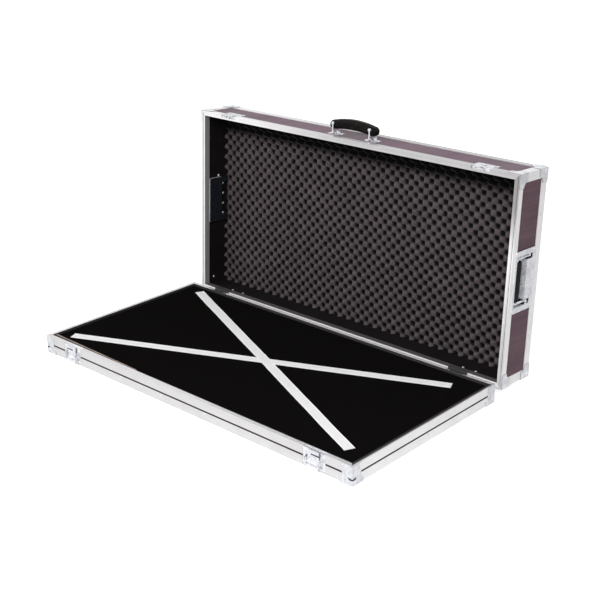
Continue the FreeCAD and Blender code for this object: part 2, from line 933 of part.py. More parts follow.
def side_dish(label, sign):
    body = new_body(label, handle_place(sign))
    steel = s.sheet_steel
    deep = s.pocket_depth
    flange = centred(2 * dish_half, -dish_low, dish_high)
    add(body, "YZ_Plane", [flange], steel)
    add(body, "YZ_Plane", [pocket_outline(0)], deep + steel, offset=-deep - steel)
    cut(body, "YZ_Plane", [pocket_outline(steel)], s.overrun, offset=-deep)
    low = number(s.pocket_ledge - 2 * steel)
    high = number(s.pocket_ledge + steel)
    round_edges(body, s.pocket_round, Vector(1, 0, 0), lambda spot: not low < spot.z < high)
    bore = (-s.bail_sunk, s.bail_pivot, s.bail_rod + s.running)
    near = s.pocket_length / 2 - 2 * steel
    cut(body, "XZ_Plane", [bore], s.overrun, offset=near)
    cut(body, "XZ_Plane", [bore], s.overrun, offset=-near - s.overrun)


# The bail is one bent rod: out-turned ends in the dish, two arms and the bar inside the grip.
def side_bail(label, sign):
    body = new_body(label, handle_place(sign))
    out = s.pocket_length / 2
    arm = bail_arm
    low = s.bail_pivot - s.bail_reach
    path = [(-out, s.bail_pivot), (-arm, s.bail_pivot), (-arm, low), (arm, low), (arm, s.bail_pivot), (out, s.bail_pivot)]
    spine = body.newObject("Sketcher::SketchObject", label + "_path")
    spine.AttachmentSupport = [(origin_plane(body, "YZ_Plane"), "")]
    spine.MapMode = "FlatFace"
    bind(spine, "AttachmentOffset.Base.z", -s.bail_sunk)
    draw_path(spine, path)
    ring = draw(body, "XZ_Plane", [(-s.bail_sunk, s.bail_pivot, s.bail_rod)], out)
    sweep_along(body, ring, spine)


def draw_path(sketch, corners):
    spots = [Vector(number(x), number(y), 0) for x, y in corners]
    for start, end in zip(spots, spots[1:]):
        sketch.addGeometry(Part.LineSegment(start, end), False)
    last = len(corners) - 1
    for index, corner in enumerate(corners):
        line, end = (index, 1) if index < last else (index - 1, 2)
        if 0 < index < last:
            sketch.addConstraint(Sketcher.Constraint("Coincident", index - 1, 2, index, 1))
        for kind, size in (("DistanceX", corner[0]), ("DistanceY", corner[1])):
            rule = sketch.addConstraint(Sketcher.Constraint(kind, -1, 1, line, end, number(size)))
            sketch.setExpression("Constraints[%d]" % rule, formula(size))


def sweep_along(body, ring, spine):
    pipe = body.newObject("PartDesign::AdditivePipe", body.Label + "_rod")
    pipe.Profile = ring
    pipe.Spine = spine
    pipe.Transition = "Round corner"
    body.Tip = pipe
    return pipe


def side_grip(label, sign):
    body = new_body(label, handle_place(sign))
    centre = s.bail_pivot - s.bail_reach
    half = s.bail_grip_width / 2
    back = -s.bail_sunk - s.bail_grip_thick / 2
    outline = rectangle(back, centre - half, back + s.bail_grip_thick, centre + half)
    add(body, "XZ_Plane", [outline], 2 * (bail_arm - s.bail_grip_gap), middle=True)
    round_edges(body, s.bail_grip_round, Vector(0, 1, 0))
    cut(body, "XZ_Plane", [(-s.bail_sunk, centre, s.bail_rod)], s.overrun, middle=True)


def side_handles():
    for name, sign in (("left", -1), ("right", 1)):
        side_dish("side_handle_dish_" + name, sign)
        side_bail("side_handle_bail_" + name, sign)
        side_grip("side_handle_grip_" + name, sign)


# Carrying handle, drawn on the front panel with -Y pointing out and Z to the lid's top.

def carry_place(x=0):
    return lid_place().multiply(moved(x, s.skin - half_depth, lid_rim + s.handle_level))


def handle_saddle(name, sign):
    body = spare_body("handle_saddle_" + name, carry_place(sign * s.ring_spacing / 2))
    half = s.saddle_length / 2
    inner = s.ring_rod + s.slip
    outer = inner + s.sheet_steel
    hump = outer + s.sheet_steel
    seat = s.ring_seat
    outline = [
        (-half, 0),
        (half, 0),
        (half, -s.sheet_steel),
        (hump, -s.sheet_steel),
        (outer, -seat, None, -1),
        (-outer, -seat),
        (-hump, -s.sheet_steel),
        (-half, -s.sheet_steel),
    ]
    add(body, "XY_Plane", [outline], s.saddle_width, middle=True)
    cut(body, "XY_Plane", [(0, -seat, inner)], s.overrun, middle=True)
    return body


def handle_ring(label, sign):
    body = new_body(label, carry_place(sign * s.ring_spacing / 2))
    side = s.ring_span / 2
    low = s.ring_seat
    high = s.ring_seat + s.ring_height
    # The plane's first axis runs along Y, so heights out of the lid are negative.
    path = [(-high, -side), (-low, -side), (-low, side), (-high, side)]
    spine = body.newObject("Sketcher::SketchObject", label + "_path")
    spine.AttachmentSupport = [(origin_plane(body, "YZ_Plane"), "")]
    spine.MapMode = "FlatFace"
    draw_path(spine, path)
    ring = draw(body, "XZ_Plane", [(0, -side, s.ring_rod)], high)
    sweep_along(body, ring, spine)
    for end in (-side, side):
        add(body, "XY_Plane", [(0, -high, s.eye_radius)], s.eye_thick, offset=end - s.eye_thick / 2)
    cut(body, "XY_Plane", [(0, -high, s.ring_rod + s.running)], s.overrun, middle=True)


def arch_radius(chord, rise):
    return chord * chord / (8 * rise) + rise / 2


def handle_grip():
    body = new_body("handle_grip", carry_place())
    half = (s.grip_length - s.grip_end) / 2
    chord = 2 * half
    low = s.grip_low
    high = s.grip_low + s.grip_end
    outline = [
        (-half, -low, arch_radius(chord, s.grip_rise_under), 1),
        (half, -low, None, -1),
        (half, -high, arch_radius(chord, s.grip_rise_over), -1),
        (-half, -high, None, -1),
    ]
    add(body, "XY_Plane", [outline], s.grip_width, middle=True)
    pins = s.ring_seat + s.ring_height
    holes = [(sign * s.ring_spacing / 2, -pins, s.ring_rod) for sign in (-1, 1)]
    cut(body, "XY_Plane", holes, s.overrun, middle=True)


def handle_pins():
    pins = []
    length = s.ring_span + 2 * s.ring_rod + 2 * s.sheet_steel
    for name, sign in (("left", -1), ("right", 1)):
        pin = doc.addObject("Part::Cylinder", "handle_pin_" + name)
        bind(pin, "Radius", s.ring_rod)
        bind(pin, "Height", length)
        place = carry_place(sign * s.ring_spacing / 2)
        pin.Placement = place.multiply(moved(0, -s.ring_seat - s.ring_height, -length / 2))
        pins.append(pin)
    compound("handle_pins", pins, Placement())


def carrying_handle():
    pair("handle_saddles", handle_saddle, Placement())
    handle_ring("handle_ring_left", -1)
    handle_ring("handle_ring_right", 1)
    handle_grip()
    handle_pins()


# Pedal board, its carpet, the battens under it and the crossed strips on it

board_half_length = half_length - s.rim_width - s.board_gap
board_half_depth = half_depth - s.rim_width - s.board_gap
carpet_top = base_rim - s.carpet_drop
board_top = carpet_top - s.carpet_thick
board_bottom = board_top - s.board_thick


def pedal_board():
    place = base_place()
    low = (-board_half_length, -board_half_depth, board_bottom)
    high = (board_half_length, board_half_depth, board_top)
    box("pedal_board", low, high, place)
    low = (-board_half_length, -board_half_depth, board_top)
    high = (board_half_length, board_half_depth, carpet_top)
    box("board_carpet", low, high, place)
    battens = []
    reach = board_half_length - s.batten_inset
    spacing = board_half_depth - s.batten_margin - s.batten_width / 2
    for name, row in (("front", -1), ("middle", 0), ("rear", 1)):
        batten = doc.addObject("Part::Box", "batten_" + name)
        bind(batten, "Length", 2 * reach)
        bind(batten, "Width", s.batten_width)
        bind(batten, "Height", board_bottom - floor_top)
        batten.Placement = moved(-reach, row * spacing - s.batten_width / 2, floor_top)
        battens.append(batten)
    compound("board_battens", battens, place)


def strip_place(left, left_row, right, right_row):
    start = point(-left, left_row, carpet_top)
    end = point(right, right_row, carpet_top)
    turn = math.degrees(math.atan2(end.y - start.y, end.x - start.x))
    return start, end, turn


def crossing(first, second):
    (a, b), (c, d) = first, second
    one = b - a
    two = d - c
    share = ((c.x - a.x) * two.y - (c.y - a.y) * two.x) / (one.x * two.y - one.y * two.x)
    return share * one.Length


# The strip that lies on top steps up over the other one where they cross.
def crossed_strips():
    under_start, under_end, under_turn = strip_place(
        board_half_length - s.under_left_inset,
        s.under_front_inset - board_half_depth,
        board_half_length - s.under_right_inset,
        board_half_depth - s.under_rear_inset,
    )
    over_start, over_end, over_turn = strip_place(
        board_half_length - s.over_left_inset,
        board_half_depth - s.over_rear_inset,
        board_half_length - s.over_right_inset,
        s.over_front_inset - board_half_depth,
    )
    half = s.strip_width / 2
    thick = s.strip_thick
    under = doc.addObject("Part::Box", "strip_under")
    under.Length = (under_end - under_start).Length
    bind(under, "Width", s.strip_width)
    bind(under, "Height", thick)
    turned = Placement(under_start, Rotation(Vector(0, 0, 1), under_turn))
    keep(under, "strip_under", turned.multiply(moved(0, -half, 0)))
    body = new_body("strip_over", Placement(over_start, Rotation(Vector(0, 0, 1), over_turn)))
    length = (over_end - over_start).Length
    middle = crossing((over_start, over_end), (under_start, under_end))
    lap = number(s.strip_lap)
    step = number(s.strip_thick)
    inner = lap - step
    outline = [
        (0, 0),
        (middle - lap, 0),
        (middle - lap, thick + s.strip_lift),
        (middle + lap, thick + s.strip_lift),
        (middle + lap, 0),
        (length, 0),
        (length, thick),
        (middle + lap + step, thick),
        (middle + inner, 2 * thick + s.strip_lift),
        (middle - inner, 2 * thick + s.strip_lift),
        (middle - lap - step, thick),
        (0, thick),
    ]
    add(body, "XZ_Plane", [outline], s.strip_width, middle=True)


# Egg-crate foam: inverted four-sided pits stand on a staggered grid and meet in ridges.
def foam_lining():
    width = number(s.case_length - 2 * wall - 2 * s.foam_gap)
    depth = number(s.case_depth - 2 * wall - 2 * s.foam_gap)
    across = max(round(width / number(s.foam_pitch_long)), 1)
    along = max(round(depth / number(s.foam_pitch_deep)), 1)
    ceiling = number(lid_top - wall)
    tip = number(lid_rim + s.foam_tip)
    pit = tip + number(s.foam_pit)
    columns = 2 * across
    rows = 2 * along

    def spot(i, j):
        level = pit if (i + j) % 2 == 0 else tip
        return (width * i / columns - width / 2, depth * j / rows - depth / 2, level)

    corners = [spot(i, j) for j in range(rows + 1) for i in range(columns + 1)]
    back = len(corners)
    corners += [(x, y, ceiling) for x, y, level in corners]

    def at(i, j):
        return j * (columns + 1) + i

    facets = []
    for j in range(rows):
        for i in range(columns):
            quad = [at(i, j), at(i + 1, j), at(i + 1, j + 1), at(i, j + 1)]
            # The fold runs between the two tips, so that each pit keeps four flat sides.
            turn = 0 if (i + j) % 2 == 0 else 1
            a, b, c, d = quad[turn:] + quad[:turn]
            facets += [(b, a, d), (d, c, b)]
    front_row = [at(i, 0) for i in range(columns + 1)]
    rear_row = [at(i, rows) for i in range(columns, -1, -1)]
    left_row = [at(0, j) for j in range(rows, -1, -1)]
    right_row = [at(columns, j) for j in range(rows + 1)]
    points = [Vector(*corner) for corner in corners]
    faces = [flat_face([points[index] for index in facet]) for facet in facets]
    for border in (front_row, right_row, rear_row, left_row):
        ends = [border[-1] + back, border[0] + back]
        faces.append(flat_face([points[index] for index in border + ends]))
    lid_corners = [at(0, 0), at(0, rows), at(columns, rows), at(columns, 0)]
    faces.append(flat_face([points[index + back] for index in lid_corners]))
    shell = Part.makeShell(faces)
    shell.sewShape()
    solid = Part.makeSolid(shell)
    if solid.Volume < 0:
        solid.reverse()
    # The back of each side handle's pocket presses into the foam's edge.
    back = half_length - s.pocket_depth - s.sheet_steel - s.slip
    notch_half = s.pocket_length / 2 + s.slip
    notch_top = s.dish_centre + s.pocket_high + s.slip
    for near in (-half_length, back):
        corner = point(near, -notch_half, lid_rim)
        far = point(near + half_length - back, notch_half, lid_rim + notch_top)
        size = far - corner
        solid = solid.cut(Part.makeBox(size.x, size.y, size.z, corner))
    foam = doc.addObject("Part::Feature", "foam_lining")
    foam.Shape = solid
    keep(foam, "foam_lining", lid_place())


def flat_face(corners):
    return Part.Face(Part.makePolygon(corners + corners[:1]))


# Rivet heads

def rivet_group(label, spots):
    radius = number(s.rivet_radius)
    height = number(s.rivet_height)
    heads = []
    for spot, outward in spots:
        head = Part.makeCone(radius, radius * rivet_crown_share, height, spot, outward)
        heads.append(head)
    group = doc.addObject("Part::Feature", label)
    group.Shape = Part.makeCompound(heads)
    return keep(group, label, Placement())


rivet_crown_share = 0.6
long_row_count = 4
short_row_count = 3


# A row of places along one side, whose first and last lie the start's length from its ends.
def spaced(half, start, count):
    end = number(half - start)
    return [end * (2 * index / (count - 1) - 1) for index in range(count)]


def side_rivets(level, out, place):
    spots = []
    for side in ("front", "rear", "left", "right"):
        frame = place.multiply(side_place(side))
        if side in ("front", "rear"):
            offsets = spaced(half_length, s.rivet_start_long, long_row_count)
        else:
            offsets = spaced(half_depth, s.rivet_start_deep, short_row_count)
        for offset in offsets:
            spots.append((frame.multVec(point(offset, -out, level)), frame.Rotation.multVec(Vector(0, -1, 0))))
    return spots


def plate_rivets(frame, places, outward):
    return [(frame.multVec(point(*place)), frame.Rotation.multVec(outward)) for place in places]


def all_rivets():
    inset = s.rivet_inset
    base = side_rivets(base_bottom + s.edge_leg - inset, 0, base_place())
    for sign in (-1, 1):
        for x in (-1, 1):
            across = x * (s.latch_width / 2 - inset)
            levels = (base_bottom + s.skin + inset, base_rim - s.rim_web - inset)
            places = [(across, leaf_front, level) for level in levels]
            base += plate_rivets(latch_place(sign), places, Vector(0, -1, 0))
            across = x * (s.hinge_width / 2 - inset)
            middle = (s.rim_width - s.skin - s.slip + leaf_back) / 2
            places = [(across, -middle, base_rim - s.rim_web + s.sheet_steel)]
            base += plate_rivets(hinge_place(sign), places, Vector(0, 0, 1))
    rivet_group("base_rivets", base)
    lid = side_rivets(lid_top - s.edge_leg + inset, 0, lid_place())
    for sign in (-1, 1):
        frame = lid_place().multiply(hinge_place(sign))
        level = lid_rim + s.strap_height - inset
        places = [(x * (s.strap_width / 2 - inset), -leaf_front, level) for x in (-1, 1)]
        lid += plate_rivets(frame, places, Vector(0, 1, 0))
        frame = lid_place().multiply(latch_place(sign))
        level = lid_rim + s.keeper_height - inset
        places = [(x * (s.keeper_width / 2 - inset), leaf_front, level) for x in (-1, 1)]
        lid += plate_rivets(frame, places, Vector(0, -1, 0))
        edge_long = dish_half - inset
        high = dish_high - s.flange_high / 2
        places = [(s.sheet_steel, y * edge_long, high) for y in (-1, 0, 1)]
        places += [(s.sheet_steel, y * edge_long, inset - dish_low) for y in (-1, 1)]
        lid += plate_rivets(handle_place(sign), places, Vector(1, 0, 0))
        frame = carry_place(sign * s.ring_spacing / 2)
        places = [(x * (s.saddle_length / 2 - inset), -s.sheet_steel, 0) for x in (-1, 1)]
        lid += plate_rivets(frame, places, Vector(0, -1, 0))
    rivet_group("lid_rivets", lid)


def check_and_write():
    doc.recompute()
    for item in doc.Objects:
        if "Invalid" in item.State or "Error" in item.State:
            raise RuntimeError("%s failed: %s" % (item.Label, item.State))
    os.makedirs("parts", exist_ok=True)
    for item in parts:
        shape = item.Shape
        if shape.isNull() or not shape.isValid() or not shape.Solids:
            raise RuntimeError("%s has no valid solid" % item.Label)
    for item in parts:
        item.Shape.exportStep("parts/%s.step" % item.Label)
    print("wrote %d parts" % len(parts))


base_sections()
lid_sections()
lid_posts()
all_panels()
base_ball_corners()
lid_ball_corners()
lid_rim_brackets()
hinges_and_latches()
side_handles()
carrying_handle()
pedal_board()
crossed_strips()
foam_lining()
all_rivets()
check_and_write()
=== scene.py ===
import math

import bmesh
import bpy
from mathutils import Matrix, Vector, noise


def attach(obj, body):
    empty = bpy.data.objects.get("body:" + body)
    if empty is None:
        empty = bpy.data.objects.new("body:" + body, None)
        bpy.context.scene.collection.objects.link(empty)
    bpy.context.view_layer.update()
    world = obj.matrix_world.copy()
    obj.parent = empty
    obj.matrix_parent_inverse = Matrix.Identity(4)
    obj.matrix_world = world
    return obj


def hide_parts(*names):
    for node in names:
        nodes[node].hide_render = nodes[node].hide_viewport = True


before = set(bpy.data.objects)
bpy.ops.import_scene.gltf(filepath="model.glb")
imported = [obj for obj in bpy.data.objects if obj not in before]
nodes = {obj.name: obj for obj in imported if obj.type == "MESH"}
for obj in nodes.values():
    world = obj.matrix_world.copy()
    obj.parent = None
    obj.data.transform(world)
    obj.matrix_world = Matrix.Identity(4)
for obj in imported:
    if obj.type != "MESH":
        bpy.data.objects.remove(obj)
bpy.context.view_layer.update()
bpy.context.scene.view_settings.view_transform = "Standard"
print("frame loaded")

mm = 0.001

# The shut case's own places, from which the lid's pieces are turned open.
case = {
    "halfLength": 510 * mm,
    "halfDepth": 257 * mm,
    "wall": 8.5 * mm,
    "baseRim": 44.5 * mm,
    "lidRim": 44.9 * mm,
    "lidTop": 161.9 * mm,
    "ceiling": 153.4 * mm,
    "hinge": Vector((0, 259.5 * mm, 18.5 * mm)),
    "openAngle": 92.8,
}
lidTurn = Matrix.Rotation(math.radians(-case["openAngle"]), 4, "X")
lidPlace = Matrix.Translation(case["hinge"]) @ lidTurn @ Matrix.Translation(-case["hinge"])
shutMove = lidPlace.inverted().translation


# Shader sums are written as plain expressions on these values.
class Value:
    def __init__(self, owner, socket):
        self.owner = owner
        self.socket = socket

    def maths(self, operation, *others):
        return self.owner.node("ShaderNodeMath", {"operation": operation}, dict(enumerate(others)))

    def __add__(self, other):
        return self.maths("ADD", self, other)

    def __radd__(self, other):
        return self.maths("ADD", other, self)

    def __sub__(self, other):
        return self.maths("SUBTRACT", self, other)

    def __rsub__(self, other):
        return self.maths("SUBTRACT", other, self)

    def __mul__(self, other):
        return self.maths("MULTIPLY", self, other)

    def sine(self):
        return self.maths("SINE", self)

    def size(self):
        return self.maths("ABSOLUTE", self)

    def least(self, other):
        return self.maths("MINIMUM", self, other)

    def most(self, other):
        return self.maths("MAXIMUM", self, other)

    def above(self, other):
        return self.maths("GREATER_THAN", self, other)


# A node tree whose nodes all come from one method.
class Tree:
    def __init__(self, tree):
        self.tree = tree

    def node(self, kind, settings=None, inputs=None, output=0):
        made = self.tree.nodes.new(kind)
        for name, value in (settings or {}).items():
            setattr(made, name, value)
        for name, value in (inputs or {}).items():
            if isinstance(value, Value):
                self.tree.links.new(value.socket, made.inputs[name])
            else:
                made.inputs[name].default_value = value
        return Value(self, made.outputs[output])

    def ray(self, kind):
        return self.node("ShaderNodeLightPath", output=f"Is {kind} Ray")


# One material: its nodes, its shader and the point that its patterns are drawn at.
class Finish(Tree):
    def __init__(self, name, **shader):
        self.material = bpy.data.materials.new(name)
        self.material.use_nodes = True
        super().__init__(self.material.node_tree)
        self.shader = self.tree.nodes["Principled BSDF"]
        for socket, value in shader.items():
            self.shader.inputs[socket.replace("_", " ")].default_value = value
        self.spot = self.node("ShaderNodeTexCoord", output="Object")

    def feed(self, socket, value):
        self.tree.links.new(value.socket, self.shader.inputs[socket])

    def turned(self, move=(0, 0, 0), angles=(0, 0, 0), scale=(1, 1, 1), spot=None):
        inputs = {"Vector": spot or self.spot, "Location": move, "Rotation": angles, "Scale": scale}
        return self.node("ShaderNodeMapping", None, inputs)

    def shutSpot(self):
        return self.turned(move=shutMove, angles=(math.radians(case["openAngle"]), 0, 0))

    def noise(self, scale, detail, roughness, spot=None):
        inputs = {"Vector": spot or self.spot, "Scale": scale, "Detail": detail, "Roughness": roughness}
        return self.node("ShaderNodeTexNoise", None, inputs)

    def cells(self, scale):
        return self.node("ShaderNodeTexVoronoi", None, {"Vector": self.spot, "Scale": scale})

    def axes(self, spot=None):
        split = self.node("ShaderNodeSeparateXYZ", None, {"Vector": spot or self.spot}).socket.node
        return [Value(self, output) for output in split.outputs]

    def ramp(self, value, low, high, start=0, end=1):
        settings = {"interpolation_type": "SMOOTHSTEP"}
        inputs = {"Value": value, "From Min": low, "From Max": high, "To Min": start, "To Max": end}
        return self.node("ShaderNodeMapRange", settings, inputs)

    def mix(self, share, low, high):
        low, high = [item if isinstance(item, Value) else (*item, 1) for item in (low, high)]
        return self.node("ShaderNodeMix", {"data_type": "RGBA"}, {0: share, 6: low, 7: high}, output=2)

    def bump(self, height, distance, strength):
        inputs = {"Height": height, "Distance": distance, "Strength": strength}
        self.feed("Normal", self.node("ShaderNodeBump", None, inputs))


def scaled(colour, share):
    return tuple(part * share for part in colour)


filmLook = {
    "colour": (0.108, 0.060, 0.078),
    "front": (0.128, 0.069, 0.100),
    "inside": (0.0035, 0.0026, 0.0028),
    "insideLight": 1.5,
    "dark": 0.82,
    "light": 1.18,
    "specular": 0.13,
    "streaks": (60, 4, 0.6),
    "streakStretch": (1, 1, 0.05),
    "streakShare": 0.6,
    "clouds": (9, 3, 0.55),
    "fine": (420, 3, 0.5),
    "grain": (700, 2, 0.5),
    "tone": (0.36, 0.64),
    "roughness": 0.42,
    "insideRoughness": 0.85,
    "cloudDull": 0.22,
    "fineDull": 0.08,
    "depth": 0.12 * mm,
    "relief": 0.35,
    "reach": 0.3 * mm,
}


# Smooth brown film on birch ply, with faint streaks up and down the boards. The lid's front, which faces
# up when open, is painted a little paler as painted light. Inside it is nearly black: a dark inner film
# with painted shade of the deep interior.
def filmFinish(name, onLid):
    look = filmLook
    finish = Finish(name, Specular_IOR_Level=look["specular"])
    shut = finish.shutSpot() if onLid else finish.spot
    streaks = finish.noise(*look["streaks"], finish.turned(scale=look["streakStretch"], spot=shut))
    clouds = finish.noise(*look["clouds"])
    share = look["streakShare"]
    tone = finish.ramp(streaks * share + clouds * (1 - share), *look["tone"])
    along, across, up = finish.axes(shut)

    def toned(colour, dark=look["dark"], light=look["light"]):
        return finish.mix(tone, scaled(colour, dark), scaled(colour, light))

    shade = toned(look["colour"])
    # Painted light: the lid's front panel, upward when open, gets a paler copy of the film.
    if onLid:
        front = 1 - across.above(case["wall"] / 2 - case["halfDepth"])
        shade = finish.mix(front, shade, toned(look["front"]))
    # Painted shade: the film inside the case is nearly black, a dark film darkened further for shade.
    inward = look["reach"] - case["wall"]
    ends = 1 - along.size().above(case["halfLength"] + inward)
    sides = 1 - across.size().above(case["halfDepth"] + inward)
    inside = ends * sides * (1 - up.above(case["ceiling"] + look["reach"]))
    shade = finish.mix(inside, shade, toned(look["inside"], 1, look["insideLight"]))
    finish.feed("Base Color", shade)
    fine = finish.noise(*look["fine"])
    dull = look["roughness"] + inside * (look["insideRoughness"] - look["roughness"])
    finish.feed("Roughness", dull + (clouds - 0.5) * look["cloudDull"] + (fine - 0.5) * look["fineDull"])
    finish.bump(finish.noise(*look["grain"]) + streaks * share, look["depth"], look["relief"])
    return finish.material


# Tones go by place and by the way that a bar runs: lit and shaded copies of one aluminium, which is
# painted light. Lengths are for the shut case.
aluminiumLook = {
    "colour": {
        "baseX": (0.67, 0.66, 0.665),
        "baseY": (0.85, 0.84, 0.845),
        "lidX": (0.55, 0.54, 0.545),
        "lidY": (0.90, 0.89, 0.895),
        "lidZ": (0.88, 0.87, 0.875),
        "rear": (0.98, 0.965, 0.965),
    },
    "metallic": {"baseX": 0.6, "baseY": 0.6, "lidX": 0.6, "lidY": 0.4, "lidZ": 0.4, "rear": 0.05},
    "dark": 0.88,
    "lines": (1500, 2, 0.6),
    "lineStretch": 0.01,
    "marks": (24, 4, 0.62),
    "tone": (0.3, 0.7),
    "roughness": 0.34,
    "markDull": 0.2,
    "lineDull": 0.12,
    "depth": 0.06 * mm,
    "relief": 0.5,
    "paintedShade": (0.10, 0.095, 0.10),
    "mitre": (0.2 * mm, 0.4 * mm),
    "seam": 5 * mm,
    "seamHalf": 1.3 * mm,
    "seamLine": (0.16 * mm, 0.4 * mm),
    "grooved": {"X": 0.3, "Y": 1},
    "brighter": 1.55,
    "brightAlong": (-420 * mm, 60 * mm),
    "shaded": (0.31, 0.30, 0.30),
    "shadedReach": 0.6 * mm,
    "shadedAcross": (-190 * mm, -60 * mm),
    "lip": (0.09, 0.085, 0.085),
    "sideLip": (0.37, 0.355, 0.36),
    "lipStart": {"base": 9.6 * mm, "lid": 12.6 * mm},
    "lipBlur": 0.3 * mm,
    "break": (0.06, 0.057, 0.06),
    "breakAlong": (-427 * mm, 386 * mm),
    "breakHalf": 29 * mm,
    "breakBlur": 1 * mm,
    "worn": (0.16, 0.155, 0.155),
    "shadeInset": (1.6 * mm, 4 * mm),
    "shadeDeep": 2.2 * mm,
    "darkTop": (0.03, 0.028, 0.028),
    "darkInset": (4 * mm, 9.5 * mm),
    "slot": (0.006, 0.005, 0.006),
    "slotLevel": 21.5 * mm,
    "slotHalf": (1.7 * mm, 2.5 * mm),
}


# Painted shade sits in the seam of the rim, at the mitres, on the inner lips, round the hinges and in the
# slot between the two bars of the base. A strip of the lid's right bars and the right rim's top are
# painted darker as shade, and the lid's X bars are painted lighter towards the left.
def barMarks(finish, shade, shut, where, along, dull):
    look = aluminiumLook
    place = "base" if where.startswith("base") else "lid"
    x, y, z = finish.axes(shut)
    inX = case["halfLength"] - x.size()
    inY = case["halfDepth"] - y.size()
    inset = inY if along == "X" else inX
    # Painted shade at the mitres and, on the lid, in the seam of the rim.
    paintedShade = finish.ramp((inX - inY).size(), *look["mitre"], 1, 0)
    if place == "lid":
        groove = ((inset - look["seam"]).size() - look["seamHalf"]).size()
        paintedShade = paintedShade.most(finish.ramp(groove, *look["seamLine"], look["grooved"][along], 0))
    # Painted light: the lid's X bars are painted lighter towards the left.
    if where == "lidX":
        bright = finish.ramp(x, *look["brightAlong"], 1, 0)
        shade = finish.mix(bright, shade, scaled(look["colour"][where], look["brighter"]))
    if where == "lidY":
        facing = x.above(0) * (1 - z.above(case["lidRim"] + look["shadedReach"]))
        facing = facing * finish.ramp(y, *look["shadedAcross"], 1, 0)
        shade = finish.mix(facing, shade, look["shaded"])
    shade = finish.mix(paintedShade, shade, look["paintedShade"])
    # Painted shade: the inner lips face into the case and are painted dark.
    lip = finish.ramp(inset, look["lipStart"][place], look["lipStart"][place] + look["lipBlur"])
    shade = finish.mix(lip, shade, look["sideLip" if where == "lidY" else "lip"])
    # Painted shade: the rim is painted dark where it is cut away for the hinges.
    if where == "rear":
        left, right = look["breakAlong"]
        off = (x - left).size().least((x - right).size())
        near = finish.ramp(off, look["breakHalf"] - look["breakBlur"], look["breakHalf"], 1, 0)
        near = near * (1 - y.above(case["halfDepth"] - look["breakBlur"]))
        shade = finish.mix(near, shade, look["break"])
    # Painted shade: the right rim's top is painted darker inward (worn and darkTop), for the shade of its
    # groove.
    if dull:
        inner = finish.ramp(inset, *look["shadeInset"]) * z.above(case["baseRim"] - look["shadeDeep"])
        worn = finish.mix(finish.ramp(inset, *look["darkInset"]), look["worn"], look["darkTop"])
        shade = finish.mix(inner, shade, worn)
    # Painted shade: a dark line in the slot between the two bars of the base.
    if place == "base":
        slot = finish.ramp((z - look["slotLevel"]).size(), *look["slotHalf"], 1, 0)
        shade = finish.mix(slot, shade, look["slot"])
    return shade


# Drawn aluminium: hairlines along the bar, dull handling marks and a soft anodised sheen.
def aluminiumFinish(name, along, onLid=False, rear=False, dull=False):
    look = aluminiumLook
    where = "rear" if rear else ("lid" if onLid else "base") + along
    finish = Finish(name, Metallic=look["metallic"][where])
    shut = finish.shutSpot() if onLid else finish.spot
    stretch = [look["lineStretch"] if axis == along else 1 for axis in "XYZ"]
    lines = finish.noise(*look["lines"], finish.turned(scale=stretch, spot=shut))
    marks = finish.noise(*look["marks"])
    colour = look["colour"][where]
    tone = finish.ramp(lines * 0.5 + marks * 0.5, *look["tone"])
    shade = finish.mix(tone, scaled(colour, look["dark"]), colour)
    if along != "Z":
        shade = barMarks(finish, shade, shut, where, along, dull)
    finish.feed("Base Color", shade)
    marked = look["roughness"] + (marks - 0.5) * look["markDull"]
    finish.feed("Roughness", marked + (lines - 0.5) * look["lineDull"])
    finish.bump(lines, look["depth"], look["relief"])
    return finish.material


zincLook = {
    "colour": (0.82, 0.825, 0.85),
    "dark": (0.61, 0.625, 0.67),
    "metallic": 0.75,
    "clouds": (85, 4, 0.6),
    "scratches": (900, 2, 0.7),
    "scratchTurn": (0.3, 0.5, 0.7),
    "scratchStretch": (1, 0.06, 1),
    "tone": (0.35, 0.62),
    "patch": (0.2, 0.2, 0.22),
    "patches": (130, 3, 0.5),
    "patchTone": (0.54, 0.6),
    "roughness": 0.24,
    "cloudDull": 0.1,
    "scratchDull": 0.14,
    "depth": 0.1 * mm,
    "relief": 0.4,
    "cornerDull": 0.9,
    "dishMetallic": 0.5,
    "rivetMetallic": 0.3,
    "hingeReflection": 0.05,
    "knuckleDull": 0.3,
}

# Painted shade on zinc pieces: dark lines and hollows, each with its own colour and places.
zincMarks = {
    "lid": {"colour": (0.14, 0.14, 0.16), "out": (0.8 * mm, 1.05 * mm)},
    "dish": {
        "colour": (0.02, 0.024, 0.032),
        "back": (14.6 * mm, 14.8 * mm),
        "ledge": case["lidRim"] + 63.4 * mm,
        "skin": 1.5 * mm,
    },
    "hook": {
        "colour": (0.02, 0.02, 0.026),
        "level": 34 * mm,
        "half": (1.3 * mm, 1.9 * mm),
        "along": (400 * mm, 424 * mm),
    },
    "ball": {
        "colour": (0.02, 0.02, 0.026),
        "level": 12.2 * mm,
        "bend": 14,
        "half": (1.4 * mm, 2.4 * mm),
        "reach": (10 * mm, 14 * mm),
        "inward": 16 * mm,
    },
}


# The outline of a plate that stands on the film, painted dark as painted shade where it meets the film.
def lidEdge(finish, mark, x, y, z):
    out = (x.size() - case["halfLength"]).most(y.size() - case["halfDepth"]).most(z - case["lidTop"])
    return finish.ramp(out, *mark["out"], 1, 0)


# The back of a side handle's dish, and the inside of its two slots, painted dark as painted shade.
def dishHollow(finish, mark, x, y, z):
    depth = case["halfLength"] - x.size()
    back = finish.ramp(depth, *mark["back"])
    return back.most(depth.above(mark["skin"]) * z.above(mark["ledge"]))


# The window above the hook of a latch, painted dark as painted shade in the opening.
def hookWindow(finish, mark, x, y, z):
    left, right = mark["along"]
    level = finish.ramp((z - mark["level"]).size(), *mark["half"], 1, 0)
    return level * x.size().above(left) * (1 - x.size().above(right))


